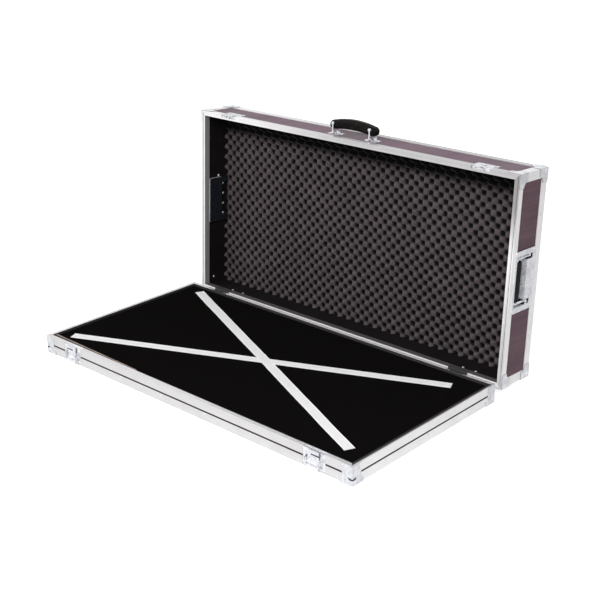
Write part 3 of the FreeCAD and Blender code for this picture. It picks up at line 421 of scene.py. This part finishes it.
# The crescent pressed round the tip of each front ball corner, painted dark as painted shade in the crease.
def ballCrescent(finish, mark, x, y, z):
    beyondX = x.size() - case["halfLength"]
    beyondY = y.size() - case["halfDepth"]
    tangent = beyondX - beyondY
    curve = z - mark["level"] - tangent * tangent * mark["bend"]
    mask = finish.ramp(curve.size(), *mark["half"], 1, 0) * finish.ramp(tangent.size(), *mark["reach"], 1, 0)
    return mask * (beyondX + beyondY).above(-mark["inward"]) * (1 - y.above(0))


markShapes = {"lid": lidEdge, "dish": dishHollow, "hook": hookWindow, "ball": ballCrescent}


# Bright zinc on pressed steel: cloudy plating, fine scratches and, on deep pressings, dull patches.
def zincFinish(name, dull=1, marked=None, metallic=zincLook["metallic"], patchy=False):
    look = zincLook
    finish = Finish(name, Metallic=metallic)
    clouds = finish.noise(*look["clouds"])
    laid = finish.turned(angles=look["scratchTurn"], scale=look["scratchStretch"])
    scratches = finish.noise(*look["scratches"], laid)
    tone = finish.ramp(clouds, *look["tone"])
    shade = finish.mix(tone, scaled(look["dark"], dull), scaled(look["colour"], dull))
    if patchy:
        patches = finish.ramp(finish.noise(*look["patches"]), *look["patchTone"])
        shade = finish.mix(patches, shade, look["patch"])
    if marked:
        mark = zincMarks[marked]
        place = finish.axes(finish.shutSpot() if marked in ("lid", "dish") else finish.spot)
        shade = finish.mix(markShapes[marked](finish, mark, *place), shade, mark["colour"])
    finish.feed("Base Color", shade)
    clouded = look["roughness"] + (1 - tone) * look["cloudDull"]
    finish.feed("Roughness", clouded + (scratches - 0.5) * look["scratchDull"])
    finish.bump(scratches * 0.5 + clouds * 0.5, look["depth"], look["relief"])
    return finish.material


carpetLook = {
    "colour": (0.0045, 0.0041, 0.004),
    "lint": (0.017, 0.0155, 0.0145),
    "fibres": (1600, 3, 0.7),
    "tufts": (320, 4, 0.65),
    "fibreShare": 0.6,
    "fibreHeight": 0.5,
    "tone": (0.5, 0.78),
    "depth": 0.9 * mm,
    "relief": 0.8,
}


# Black needled carpet: short matted fibres with a little grey lint.
def carpetFinish():
    look = carpetLook
    finish = Finish("carpet", Roughness=1, Specular_IOR_Level=0)
    fibres = finish.noise(*look["fibres"])
    tufts = finish.noise(*look["tufts"])
    tone = finish.ramp(fibres * look["fibreShare"] + tufts * (1 - look["fibreShare"]), *look["tone"])
    finish.feed("Base Color", finish.mix(tone, look["colour"], look["lint"]))
    finish.bump(fibres * look["fibreHeight"] + tufts, look["depth"], look["relief"])
    return finish.material


tapeLook = {
    "colour": (0.985, 0.985, 0.99),
    "shade": (0.92, 0.92, 0.935),
    "roughness": 0.75,
    "specular": 0.3,
    "hookPitch": 1.5 * mm,
    "hookTone": (-0.2, 0.7),
    "selvedge": 3.2 * mm,
    "selvedgeEnd": 0.6,
    "threadsPerHook": 2.4,
    "weaveShade": 0.25,
    "weaveHeight": 0.4,
    "soil": (70, 3, 0.6),
    "soilShade": 0.3,
    "depth": 0.5 * mm,
    "relief": 0.7,
}


# White hook tape: rows of small hooks between two plain woven edges.
def tapeFinish(name, angle, middle, width):
    look = tapeLook
    finish = Finish(name, Roughness=look["roughness"], Specular_IOR_Level=look["specular"])
    centred = finish.node("ShaderNodeVectorMath", {"operation": "SUBTRACT"}, {0: finish.spot, 1: middle})
    along, across, _ = finish.axes(finish.turned(angles=(0, 0, -angle), spot=centred))
    turn = 2 * math.pi / look["hookPitch"]
    hooks = (along * turn).sine() * (across * turn).sine()
    inner, outer = [width / 2 - look["selvedge"] * share for share in (1, look["selvedgeEnd"])]
    field = finish.ramp(across.size(), inner, outer, 1, 0)
    weave = (along * (turn * look["threadsPerHook"])).sine() * 0.5 + 0.5
    soil = (finish.noise(*look["soil"]) - 0.5) * look["soilShade"]
    tone = finish.ramp(hooks, *look["hookTone"]) * field + weave * look["weaveShade"] * (1 - field) + soil
    finish.feed("Base Color", finish.mix(tone, look["colour"], look["shade"]))
    height = hooks * field + weave * (1 - field) * look["weaveHeight"]
    finish.bump(height, look["depth"], look["relief"])
    return finish.material


foamLook = {
    "colour": (0.124, 0.100, 0.106),
    "dark": (0.035, 0.029, 0.031),
    "tone": (0.35, 1.1),
    "cells": 1300,
    "clouds": (30, 3, 0.6),
    "cloudShade": 0.4,
    "pit": (0.004, 0.0035, 0.004),
    "pitStart": 4.5 * mm,
    "pitFull": 12 * mm,
    "unevenness": (75, 2, 0.5),
    "uneven": 7 * mm,
    "borderStart": 47.52 * mm,
    "borderFull": 66 * mm,
    "tip": 80 * mm,
    "depth": 0.6 * mm,
    "relief": -0.6,
}


# Open-cell charcoal foam, with the cut cells as fine dark pores. The pits are painted black as painted
# shade, and the front border as the painted shadow of the lid's front wall.
def foamFinish():
    look = foamLook
    finish = Finish("foam", Roughness=1, Sheen_Weight=0.12, Sheen_Roughness=0.5, Specular_IOR_Level=0.05)
    cells = finish.cells(look["cells"])
    tone = finish.ramp(cells + finish.noise(*look["clouds"]) * look["cloudShade"], *look["tone"])
    _, y, z = finish.axes(finish.shutSpot())
    tip = case["lidRim"] + look["tip"]
    # Painted shade: the pits go black with depth.
    level = z + (finish.noise(*look["unevenness"]) - 0.5) * look["uneven"]
    pit = finish.ramp(level, tip + look["pitStart"], tip + look["pitFull"])
    # Painted shadow: the border under the lid's front wall goes black.
    front = y + (case["halfDepth"] - case["wall"])
    border = finish.ramp(front, look["borderStart"], look["borderFull"], 1, 0)
    shade = finish.mix(tone, look["colour"], look["dark"])
    finish.feed("Base Color", finish.mix(pit.most(border), shade, look["pit"]))
    finish.bump(cells, look["depth"], look["relief"])
    return finish.material


rubberLook = {
    "colour": (0.003, 0.0024, 0.0022),
    "worn": (0.009, 0.0075, 0.007),
    "specular": 0.06,
    "grain": 900,
    "wear": (55, 4, 0.6),
    "wearTone": (0.42, 0.75),
    "roughness": 0.36,
    "wearDull": 0.3,
    "depth": 0.2 * mm,
    "relief": 0.5,
}


# Moulded black grip rubber with a fine leathery grain and a soft sheen.
def rubberFinish():
    look = rubberLook
    finish = Finish("gripRubber", Specular_IOR_Level=look["specular"])
    wear = finish.noise(*look["wear"])
    finish.feed("Base Color", finish.mix(finish.ramp(wear, *look["wearTone"]), look["colour"], look["worn"]))
    finish.feed("Roughness", look["roughness"] + (wear - 0.5) * look["wearDull"])
    finish.bump(finish.cells(look["grain"]), look["depth"], look["relief"])
    return finish.material


plyLook = {
    "clean": ((0.50, 0.36, 0.20), (0.28, 0.17, 0.08)),
    "worn": ((0.42, 0.33, 0.27), (0.27, 0.205, 0.165)),
    "roughness": 0.6,
    "sheets": 1.3 * mm,
    "grain": (160, 5, 0.6),
    "grainStretch": (0.06, 1, 1),
    "tone": (0.35, 0.8),
    "paintedShade": (0.03, 0.025, 0.02),
    "shadeTo": -239.3 * mm,
    "shadeBlur": 0.4 * mm,
    "depth": 0.2 * mm,
    "relief": 0.4,
}


# Bare birch ply: flat grain on the faces and thin layers at the edges. Worn ply has painted shade along
# its front edge, where it lies in the gap under the rim.
def plyFinish(name, state):
    look = plyLook
    finish = Finish(name, Roughness=look["roughness"])
    _, across, up = finish.axes()
    layers = (up * (2 * math.pi / look["sheets"])).sine() * 0.5 + 0.5
    grain = finish.noise(*look["grain"], finish.turned(scale=look["grainStretch"]))
    tone = finish.ramp(layers * 0.5 + grain * 0.5, *look["tone"])
    shade = finish.mix(tone, *look[state])
    if state == "worn":
        # Painted shade: a dark line along the front edge, in the gap under the rim.
        frontShade = finish.ramp(across, look["shadeTo"], look["shadeTo"] + look["shadeBlur"], 1, 0)
        shade = finish.mix(frontShade, shade, look["paintedShade"])
    finish.feed("Base Color", shade)
    finish.bump(grain, look["depth"], look["relief"])
    return finish.material


pineLook = {
    "light": (0.56, 0.40, 0.22),
    "dark": (0.36, 0.22, 0.10),
    "roughness": 0.7,
    "rings": (70, 4, 0.55),
    "ringStretch": (0.04, 1, 1),
    "ringTone": (0.42, 0.6),
    "saw": (900, 2, 0.6),
    "sawStretch": (1, 0.03, 1),
    "depth": 0.3 * mm,
    "relief": 0.5,
}


# Sawn softwood battens under the board.
def pineFinish():
    look = pineLook
    finish = Finish("pine", Roughness=look["roughness"])
    rings = finish.noise(*look["rings"], finish.turned(scale=look["ringStretch"]))
    saw = finish.noise(*look["saw"], finish.turned(scale=look["sawStretch"]))
    finish.feed("Base Color", finish.mix(finish.ramp(rings, *look["ringTone"]), look["light"], look["dark"]))
    finish.bump(rings * 0.5 + saw * 0.5, look["depth"], look["relief"])
    return finish.material


film = filmFinish("brownFilm", False)
lidFilm = filmFinish("brownFilmLid", True)
zinc = zincFinish("zinc")
cornerZinc = {
    "base": zincFinish("cornerZincBase", zincLook["cornerDull"], "ball"),
    "lid": zincFinish("cornerZincLid", marked="lid"),
}
dishZinc = zincFinish("dishZinc", marked="dish", metallic=zincLook["dishMetallic"])
hookZinc = zincFinish("hookZinc", marked="hook")
rivetTin = zincFinish("rivetTin", metallic=zincLook["rivetMetallic"])
pressedZinc = zincFinish("pressedZinc", patchy=True)
# Painted reflection: the base hinge leaves are painted nearly black for the dark surroundings they mirror.
hingeSteel = zincFinish("hingeSteel", zincLook["hingeReflection"])
knuckleSteel = zincFinish("knuckleSteel", zincLook["knuckleDull"])
carpetBlack = carpetFinish()
foamGrey = foamFinish()
rubberBlack = rubberFinish()
birch = plyFinish("birchPly", "clean")
wornBirch = plyFinish("wornBirch", "worn")
pine = pineFinish()
aluminiumOf = {}
for place, runs in (("base", "XY"), ("lid", "XYZ")):
    for run in runs:
        aluminiumOf[place, run] = aluminiumFinish(f"aluminium{place.title()}{run}", run, place == "lid")
rearRim = aluminiumFinish("aluminiumRearRim", "X", True, rear=True)
# dull=True paints shade on the top of the right rim.
rightRim = aluminiumFinish("aluminiumRightRim", "Y", dull=True)
print("finishes made")

finishByNode = {
    "latch_keepers": pressedZinc,
    "handle_saddles": pressedZinc,
    "base_rim_right": rightRim,
    "lid_rim_rear": rearRim,
    "base_hinge_leaves": hingeSteel,
    "lid_hinge_leaves": knuckleSteel,
    "hinge_pins": knuckleSteel,
    "lid_corner_posts": aluminiumOf["lid", "Z"],
    "pedal_board": birch,
    "board_battens": pine,
}


def finishOf(node):
    onLid = node.startswith("lid")
    if node in finishByNode:
        return finishByNode[node]
    if node.endswith("panel"):
        return lidFilm if onLid else film
    if "corners" in node or "brackets" in node:
        return cornerZinc["lid" if onLid else "base"]
    if "dish" in node:
        return dishZinc
    if "hook" in node:
        return hookZinc
    if "_rim_" in node or "_edge_" in node:
        run = "X" if node.endswith(("front", "rear")) else "Y"
        return aluminiumOf["lid" if onLid else "base", run]
    return zinc


for name, piece in nodes.items():
    piece.data.materials.clear()
    piece.data.materials.append(finishOf(name))
print("frame pieces finished")


# New pieces

def newPiece(name, shape, material, body, place=None, smooth=True):
    if place is not None:
        bmesh.ops.transform(shape, matrix=place, verts=shape.verts)
    mesh = bpy.data.meshes.new(name)
    shape.to_mesh(mesh)
    shape.free()
    mesh.materials.append(material)
    if smooth:
        mesh.shade_smooth()
    piece = bpy.data.objects.new(name, mesh)
    bpy.context.scene.collection.objects.link(piece)
    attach(piece, body)
    return piece


def splitSharp(piece, angle):
    split = piece.modifiers.new("creases", "EDGE_SPLIT")
    split.split_angle = math.radians(angle)
    split.use_edge_sharp = False


def closeHoles(shape):
    bmesh.ops.holes_fill(shape, edges=[edge for edge in shape.edges if edge.is_boundary], sides=0)
    bmesh.ops.recalc_face_normals(shape, faces=shape.faces)


# Carries the open border of a sheet down or up to one level and closes the shape there.
def closeTo(shape, level):
    border = [edge for edge in shape.edges if edge.is_boundary]
    grown = bmesh.ops.extrude_edge_only(shape, edges=border)["geom"]
    for vert in [item for item in grown if isinstance(item, bmesh.types.BMVert)]:
        vert.co.z = level
    closeHoles(shape)


foam = {
    "gap": 1 * mm,
    "pit": 18 * mm,
    "across": 33,
    "along": 17,
    "steps": 8,
    "sharpness": 1.25,
    "waver": 0.5 * mm,
    "waverScale": 22,
    "back": 2 * mm,
    "notchHalf": 63.5 * mm,
    "notchDeep": 16 * mm,
    "notchTop": 89 * mm,
    "crease": 70,
}


# Egg-crate foam: a fine grid pushed into staggered pits and carried back to the ceiling.
def makeFoam():
    width = 2 * (case["halfLength"] - case["wall"] - foam["gap"])
    depth = 2 * (case["halfDepth"] - case["wall"] - foam["gap"])
    shape = bmesh.new()
    bmesh.ops.create_grid(
        shape, x_segments=foam["across"] * foam["steps"], y_segments=foam["along"] * foam["steps"], size=0.5,
        matrix=Matrix.Diagonal((width, depth, 1, 1)))
    tip = case["lidRim"] + foamLook["tip"]
    pitchAcross = width / foam["across"]
    pitchAlong = depth / foam["along"]
    for vert in shape.verts:
        x, y = vert.co.x, vert.co.y
        u = 2 * math.pi * (x + width / 2) / pitchAcross
        v = 2 * math.pi * (y + depth / 2) / pitchAlong
        share = (1 + math.cos(u) * math.cos(v)) / 2
        waver = noise.noise(Vector((x, y, 0)) * foam["waverScale"]) * foam["waver"]
        level = tip + foam["pit"] * share ** foam["sharpness"] + waver
        if abs(y) < foam["notchHalf"] and abs(x) > case["halfLength"] - foam["notchDeep"]:
            level = max(level, case["lidRim"] + foam["notchTop"])
        vert.co.z = min(max(level, tip), case["ceiling"] - foam["back"])
    closeTo(shape, case["ceiling"])
    piece = newPiece("eggCrateFoam", shape, foamGrey, "lid", lidPlace)
    splitSharp(piece, foam["crease"])
    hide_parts("foam_lining")


makeFoam()
print("foam made")


carpet = {
    "halfLength": 497 * mm,
    "halfDepth": 244 * mm,
    "top": 39.5 * mm,
    "thick": 3 * mm,
    "cell": 10 * mm,
    "waver": 0.12 * mm,
    "waverScale": 35,
    "settled": 0.15 * mm,
    "edgeDrop": 0.35 * mm,
    "skew": 9 * mm,
    "skewStart": 0.3,
    "skewPower": 4,
    "crease": 60,
}


# The carpet glued to the board, with pressed round edges and a slightly uneven surface. Its front
# edge is set back towards the left.
def makeCarpet():
    shape = bmesh.new()
    across = int(2 * carpet["halfLength"] / carpet["cell"])
    along = int(2 * carpet["halfDepth"] / carpet["cell"])
    bmesh.ops.create_grid(
        shape, x_segments=across, y_segments=along, size=1,
        matrix=Matrix.Diagonal((carpet["halfLength"], carpet["halfDepth"], 1, 1)))
    for vert in shape.verts:
        waver = noise.noise(vert.co * carpet["waverScale"]) * carpet["waver"]
        short = min(max(carpet["skewStart"] - vert.co.x / carpet["halfLength"], 0), 1) * carpet["skew"]
        vert.co.y += short * max(-vert.co.y / carpet["halfDepth"], 0) ** carpet["skewPower"]
        vert.co.z = carpet["top"] - carpet["settled"] + waver
        if vert.is_boundary:
            vert.co.z -= carpet["edgeDrop"]
    closeTo(shape, carpet["top"] - carpet["thick"])
    piece = newPiece("boardCarpet", shape, carpetBlack, "base")
    splitSharp(piece, carpet["crease"])
    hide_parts("board_carpet")
    return piece


carpetPiece = makeCarpet()

lath = {
    "start": -495 * mm,
    "end": -180 * mm,
    "front": -242.6 * mm,
    "back": -236 * mm,
    "high": 44 * mm,
    "sunk": 2.5 * mm,
    "runOut": 0.5 * mm,
    "round": 0.4 * mm,
}


# The board's bare front edge stands a little proud at the left and runs out to the right.
def makeBareEdge():
    shape = bmesh.new()
    bmesh.ops.create_cube(shape, size=1)
    foot = carpet["top"] - lath["sunk"]
    spans = (lath["start"], lath["end"]), (lath["front"], lath["back"]), (foot, lath["high"])
    bmesh.ops.scale(shape, vec=[far - near for near, far in spans], verts=shape.verts)
    bmesh.ops.translate(shape, vec=[(near + far) / 2 for near, far in spans], verts=shape.verts)
    for vert in shape.verts:
        if vert.co.x > (lath["start"] + lath["end"]) / 2 and vert.co.z > carpet["top"]:
            vert.co.z = carpet["top"] - lath["runOut"]
    bmesh.ops.bevel(
        shape, geom=shape.edges[:], offset=lath["round"], segments=2, profile=0.5, affect="EDGES",
        material=-1)
    newPiece("bareBoardEdge", shape, wornBirch, "base", smooth=False)


makeBareEdge()
print("carpet made")


strips = {
    "width": 25 * mm,
    "thick": 0.8 * mm,
    "level": 39.5 * mm,
    "clear": 0.02 * mm,
    "under": ((-466.5 * mm, -209.34 * mm), (436 * mm, 191 * mm)),
    "over": ((-449 * mm, 220 * mm), (455 * mm, -200 * mm)),
    "crossing": (15.19 * mm, 4.33 * mm),
    "lift": 0.85 * mm,
    "lap": 34 * mm,
    "slope": 10 * mm,
    "cells": (240, 8),
    "nick": 1.6 * mm,
    "nearEnd": 0.1 * mm,
    "waver": 0.7 * mm,
    "waves": (9, 45),
    "fineShare": 0.4,
    "crease": 50,
}


# A strip of hook tape on the carpet, its ends pinked and its edges not quite straight.
def makeStrip(name, start, end, lifted, seed):
    start, end = Vector((*start, 0)), Vector((*end, 0))
    middle = (start + end) / 2
    angle = math.atan2((end - start).y, (end - start).x)
    length = (end - start).length
    halfWidth = strips["width"] / 2
    cellsAlong, cellsAcross = strips["cells"]
    longWave, shortWave = strips["waves"]
    shape = bmesh.new()
    bmesh.ops.create_grid(
        shape, x_segments=cellsAlong, y_segments=cellsAcross, size=1,
        matrix=Matrix.Diagonal((length / 2, halfWidth, 1, 1)))
    cross = Vector((*strips["crossing"], 0)) - middle
    crossAlong = cross.length * (1 if cross.dot(end - start) > 0 else -1)
    for vert in shape.verts:
        along, across = vert.co.x, vert.co.y
        if abs(abs(along) - length / 2) < strips["nearEnd"]:
            tooth = round((across / halfWidth + 1) * cellsAcross / 2) % 2
            vert.co.x -= math.copysign(strips["nick"] * tooth, along)
        shift = noise.noise(Vector((along * longWave, seed, 0)))
        shift += strips["fineShare"] * noise.noise(Vector((along * shortWave, seed, 3)))
        vert.co.y += shift * strips["waver"]
        lift = 0
        if lifted:
            lift = 1 - min(max((abs(along - crossAlong) - strips["lap"]) / strips["slope"], 0), 1)
            lift = lift * lift * (3 - 2 * lift)
        vert.co.z = strips["level"] + lift * strips["lift"] + strips["clear"]
    turned = Matrix.Translation(middle) @ Matrix.Rotation(angle, 4, "Z")
    bmesh.ops.solidify(shape, geom=shape.faces[:], thickness=-strips["thick"])
    bmesh.ops.recalc_face_normals(shape, faces=shape.faces)
    tape = tapeFinish(name + "Tape", angle, middle, strips["width"])
    piece = newPiece(name, shape, tape, "base", turned)
    splitSharp(piece, strips["crease"])
    return piece


underStrip = makeStrip("hookStripUnder", *strips["under"], False, 1.3)
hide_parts("strip_under")
overStrip = makeStrip("hookStripOver", *strips["over"], True, 7.9)
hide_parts("strip_over")
print("hook strips made")


# Carries an outline of a few points through a row of places, as a loft with closed ends.
def loft(shape, outline, places):
    face = shape.faces.new([shape.verts.new(places[0] @ Vector((*spot, 0))) for spot in outline])
    for before, after in zip(places, places[1:]):
        face = bmesh.ops.extrude_discrete_faces(shape, faces=[face])["faces"][0]
        bmesh.ops.transform(shape, matrix=after @ before.inverted(), verts=face.verts)
    bmesh.ops.recalc_face_normals(shape, faces=shape.faces)


# A square of half size 1 with round corners.
def roundedSquare(rounding, steps):
    corners = []
    for quarter, (x, y) in enumerate(((1, 1), (-1, 1), (-1, -1), (1, -1))):
        centre = Vector((x, y)) * (1 - rounding)
        for step in range(steps + 1):
            angle = math.pi / 2 * (quarter + step / steps)
            corners.append(centre + rounding * Vector((math.cos(angle), math.sin(angle))))
    return corners


carry = {
    "level": 42 * mm,
    "half": 63 * mm,
    "endRound": 12 * mm,
    "endShare": 0.004,
    "endWidth": 0.35,
    "low": 13 * mm,
    "thick": 22.5 * mm,
    "riseUnder": 5 * mm,
    "riseOver": 8 * mm,
    "halfWidth": 12 * mm,
    "corner": 0.62,
    "cornerSteps": 6,
    "steps": 184,
    "ribStart": 34 * mm,
    "ribEnd": 69 * mm,
    "ribPitch": 3.2 * mm,
    "ribDeep": 0.7 * mm,
    "ribFloor": -0.4,
    "setIn": 1.5 * mm,
    "crease": 55,
}


# The arched grip of the carrying handle, drawn along X with its thickness out of the case.
def makeCarryGrip():
    shape = bmesh.new()
    half = carry["half"] + carry["endRound"]
    places = []
    for step in range(carry["steps"] + 1):
        x = half * (2 * step / carry["steps"] - 1)
        sag = 1 - (min(abs(x), carry["half"]) / carry["half"]) ** 2
        low = carry["low"] + carry["riseUnder"] * sag
        high = carry["low"] + carry["thick"] + carry["riseOver"] * sag
        share = 1
        if abs(x) > carry["half"]:
            reach = (abs(x) - carry["half"]) / carry["endRound"]
            share = math.sqrt(max(1 - reach * reach, carry["endShare"]))
        rib = 0
        if carry["ribStart"] < abs(x) < carry["ribEnd"]:
            turn = 2 * math.pi * (abs(x) - carry["ribStart"]) / carry["ribPitch"]
            rib = max(math.sin(turn), carry["ribFloor"])
        grow = rib * carry["ribDeep"] / 2
        thick = (high - low) / 2 * share + grow
        wide = carry["halfWidth"] * (carry["endWidth"] + (1 - carry["endWidth"]) * share) + grow
        place = Matrix(((0, 0, 1, x), (0, 1, 0, -(low + high) / 2), (1, 0, 0, 0), (0, 0, 0, 1)))
        places.append(place @ Matrix.Diagonal((wide, thick, 1, 1)))
    loft(shape, roundedSquare(carry["corner"], carry["cornerSteps"]), places)
    seat = Matrix.Translation((0, carry["setIn"] - case["halfDepth"], case["lidRim"] + carry["level"]))
    piece = newPiece("carryGrip", shape, rubberBlack, "handle_grip", lidPlace @ seat)
    splitSharp(piece, carry["crease"])
    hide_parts("handle_grip")


makeCarryGrip()
print("carrying grip made")


rivet = {
    "radius": 3.2 * mm,
    "height": 1.1 * mm,
    "sides": 14,
    "turns": 4,
    "weld": 0.01 * mm,
    "headWeld": 0.02 * mm,
    "crease": 60,
}


# Splits a node of separate rivets into its solids, as sets of points.
def islandsOf(shape):
    left = set(shape.verts)
    while left:
        island, front = set(), [left.pop()]
        while front:
            vert = front.pop()
            island.add(vert)
            for edge in vert.link_edges:
                other = edge.other_vert(vert)
                if other in left:
                    left.discard(other)
                    front.append(other)
        yield island


# The foot of each rivet of a node, and the way that its head faces.
def rivetSpots(node):
    shape = bmesh.new()
    shape.from_mesh(nodes[node].data)
    bmesh.ops.remove_doubles(shape, verts=shape.verts, dist=rivet["weld"])
    spots = []
    for island in islandsOf(shape):
        flat = {}
        for face in {face for vert in island for face in vert.link_faces}:
            key = tuple(round(part, 2) for part in face.normal)
            flat[key] = flat.get(key, 0) + face.calc_area()
        normal = Vector(sorted(flat, key=flat.get)[-2]).normalized()
        middle = sum((vert.co for vert in island), Vector()) / len(island)
        foot = min(vert.co.dot(normal) for vert in island) - middle.dot(normal)
        spots.append((middle + normal * foot, normal))
    shape.free()
    return spots


# A low domed head on each spot.
def makeRivets(name, body, spots, node=None, metal=zinc):
    shape = bmesh.new()
    turns = rivet["turns"]
    for foot, normal in spots:
        turn = Matrix.Translation(foot) @ normal.to_track_quat("Z", "Y").to_matrix().to_4x4()
        profile = []
        for step in range(turns + 1):
            angle = math.pi / 2 * step / turns
            out = rivet["radius"] * math.cos(angle) if step < turns else 0
            profile.append(shape.verts.new(turn @ Vector((out, 0, rivet["height"] * math.sin(angle)))))
        edges = [shape.edges.new(pair) for pair in zip(profile, profile[1:])]
        bmesh.ops.spin(
            shape, geom=profile + edges, cent=foot, axis=normal, angle=2 * math.pi, steps=rivet["sides"],
            use_merge=True)
    bmesh.ops.remove_doubles(shape, verts=shape.verts, dist=rivet["headWeld"])
    closeHoles(shape)
    piece = newPiece(name, shape, metal, body)
    splitSharp(piece, rivet["crease"])
    if node:
        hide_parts(node)


makeRivets("baseRivetHeads", "base", rivetSpots("base_rivets"), "base_rivets")
makeRivets("lidRivetHeads", "lid", rivetSpots("lid_rivets"), "lid_rivets")

rivetEnds = {
    "side": [
        (-42.5 * mm, 120 * mm),
        (-13 * mm, 120 * mm),
        (16.5 * mm, 120 * mm),
        (44.5 * mm, 120 * mm),
        (-67 * mm, 102 * mm),
        (230 * mm, 84 * mm),
    ],
    "rear": [-414 * mm, -374 * mm, 381 * mm, 418 * mm],
    "rearLevel": 75.9 * mm,
}


# The far ends of the fittings' rivets, flattened on the lid's inner walls.
def makeRivetEnds():
    spots = []
    wallX = case["halfLength"] - case["wall"]
    wallY = case["halfDepth"] - case["wall"]
    for sign in (-1, 1):
        for across, level in rivetEnds["side"]:
            spots.append((Vector((sign * wallX, across, level)), Vector((-sign, 0, 0))))
    for along in rivetEnds["rear"]:
        spots.append((Vector((along, wallY, rivetEnds["rearLevel"])), Vector((0, -1, 0))))
    turn = lidPlace.to_3x3()
    opened = [(lidPlace @ foot, turn @ normal) for foot, normal in spots]
    makeRivets("rivetEnds", "lid", opened, metal=rivetTin)


makeRivetEnds()
print("rivets made")


sideGrip = {
    "level": 31 * mm,
    "sunk": 5 * mm,
    "halfLength": 49 * mm,
    "halfWidth": 12.5 * mm,
    "halfThick": 6.25 * mm,
    "corner": 0.5,
    "cornerSteps": 5,
    "steps": 140,
    "endRound": 2 * mm,
    "endShrink": 1.5 * mm,
    "ribPitch": 3.5 * mm,
    "ribDeep": 0.5 * mm,
    "ribFloor": -0.3,
    "plain": 8 * mm,
    "crease": 55,
}


# The ribbed rubber grip on the bail of a side handle, drawn along Y.
def makeSideGrip(name, sign):
    shape = bmesh.new()
    places = []
    for step in range(sideGrip["steps"] + 1):
        along = sideGrip["halfLength"] * (2 * step / sideGrip["steps"] - 1)
        rib = 0
        if abs(along) < sideGrip["halfLength"] - sideGrip["plain"]:
            rib = max(math.cos(2 * math.pi * along / sideGrip["ribPitch"]), sideGrip["ribFloor"])
        end = min((sideGrip["halfLength"] - abs(along)) / sideGrip["endRound"], 1)
        taper = (1 - math.sqrt(max(end * (2 - end), 0))) * sideGrip["endShrink"]
        grow = (rib - 1) * sideGrip["ribDeep"] / 2 - taper
        place = Matrix(((0, 1, 0, 0), (0, 0, 1, along), (1, 0, 0, 0), (0, 0, 0, 1)))
        wide = sideGrip["halfWidth"] + grow
        thick = sideGrip["halfThick"] + grow
        places.append(place @ Matrix.Diagonal((wide, thick, 1, 1)))
    loft(shape, roundedSquare(sideGrip["corner"], sideGrip["cornerSteps"]), places)
    x = sign * (case["halfLength"] - sideGrip["sunk"])
    seat = lidPlace @ Matrix.Translation((x, 0, case["lidRim"] + sideGrip["level"]))
    piece = newPiece("sideGrip_" + name, shape, rubberBlack, "side_bail_" + name, seat)
    splitSharp(piece, sideGrip["crease"])
    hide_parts("side_handle_grip_" + name)


makeSideGrip("left", -1)
makeSideGrip("right", 1)
print("side grips made")


# Stage: a pale floor, a white surround and soft lamps

stageLook = {
    "floor": -5.5 * mm,
    "floorSize": 30,
    "floorColour": (0.9, 0.9, 0.9, 1),
    "floorRoughness": 0.9,
    "white": (1, 1, 1, 1),
    "surround": 0.5,
    "glow": 0.75,
    "mirrored": 0.1,
    "lampTarget": (0, 0.1, 0.2),
    "lamps": {
        "keyLamp": {"place": (1.3, -2.0, 2.2), "size": 1.4, "power": 72},
        "fillLamp": {"place": (-2.2, -1.8, 1.6), "size": 1.6, "power": 28},
    },
}


# The floor glows to the camera, and a little in mirrors, so that it stays white round its shadow.
def makeFloor():
    shape = bmesh.new()
    bmesh.ops.create_grid(shape, x_segments=1, y_segments=1, size=stageLook["floorSize"])
    mesh = bpy.data.meshes.new("floor")
    bmesh.ops.translate(shape, vec=(0, 0, stageLook["floor"]), verts=shape.verts)
    shape.to_mesh(mesh)
    shape.free()
    floor = bpy.data.objects.new("floor", mesh)
    bpy.context.scene.collection.objects.link(floor)
    finish = Finish(
        "paleFloor", Base_Color=stageLook["floorColour"], Roughness=stageLook["floorRoughness"],
        Specular_IOR_Level=0, Emission_Color=stageLook["white"])
    seen = finish.ray("Camera").most(finish.ray("Glossy") * stageLook["mirrored"])
    finish.feed("Emission Strength", seen * stageLook["glow"])
    mesh.materials.append(finish.material)


def makeWorld():
    world = bpy.data.worlds.new("surround")
    bpy.context.scene.world = world
    world.use_nodes = True
    world.node_tree.nodes.clear()
    sky = Tree(world.node_tree)
    seen = sky.ray("Camera").most(sky.ray("Glossy").most(sky.ray("Transmission")))
    light, white = [
        sky.node("ShaderNodeBackground", None, {"Color": stageLook["white"], "Strength": strength})
        for strength in (stageLook["surround"], 1)]
    blend = sky.node("ShaderNodeMixShader", None, {0: seen, 1: light, 2: white})
    output = world.node_tree.nodes.new("ShaderNodeOutputWorld")
    world.node_tree.links.new(blend.socket, output.inputs["Surface"])


def addLamp(name, place, size, power):
    data = bpy.data.lights.new(name, "AREA")
    data.shape = "RECTANGLE"
    data.size = size
    data.size_y = size
    data.energy = power
    lamp = bpy.data.objects.new(name, data)
    lamp.location = place
    aim = Vector(stageLook["lampTarget"]) - Vector(place)
    lamp.rotation_euler = aim.to_track_quat("-Z", "Y").to_euler()
    bpy.context.scene.collection.objects.link(lamp)


makeFloor()
makeWorld()
for name, lamp in stageLook["lamps"].items():
    addLamp(name, **lamp)

cameraLook = {
    "place": (1.826466, -1.853048, 1.219178),
    "angles": (68.52131, 0.36216, 42.2474),
    "lens": 69.96651,
    "sensor": 36,
}
camera = bpy.data.objects.new("camera", bpy.data.cameras.new("camera"))
camera.data.lens = cameraLook["lens"]
camera.data.sensor_width = cameraLook["sensor"]
camera.location = cameraLook["place"]
camera.rotation_euler = [math.radians(angle) for angle in cameraLook["angles"]]
bpy.context.scene.collection.objects.link(camera)
bpy.context.scene.camera = camera
print("stage and camera set")

bpy.context.view_layer.update()
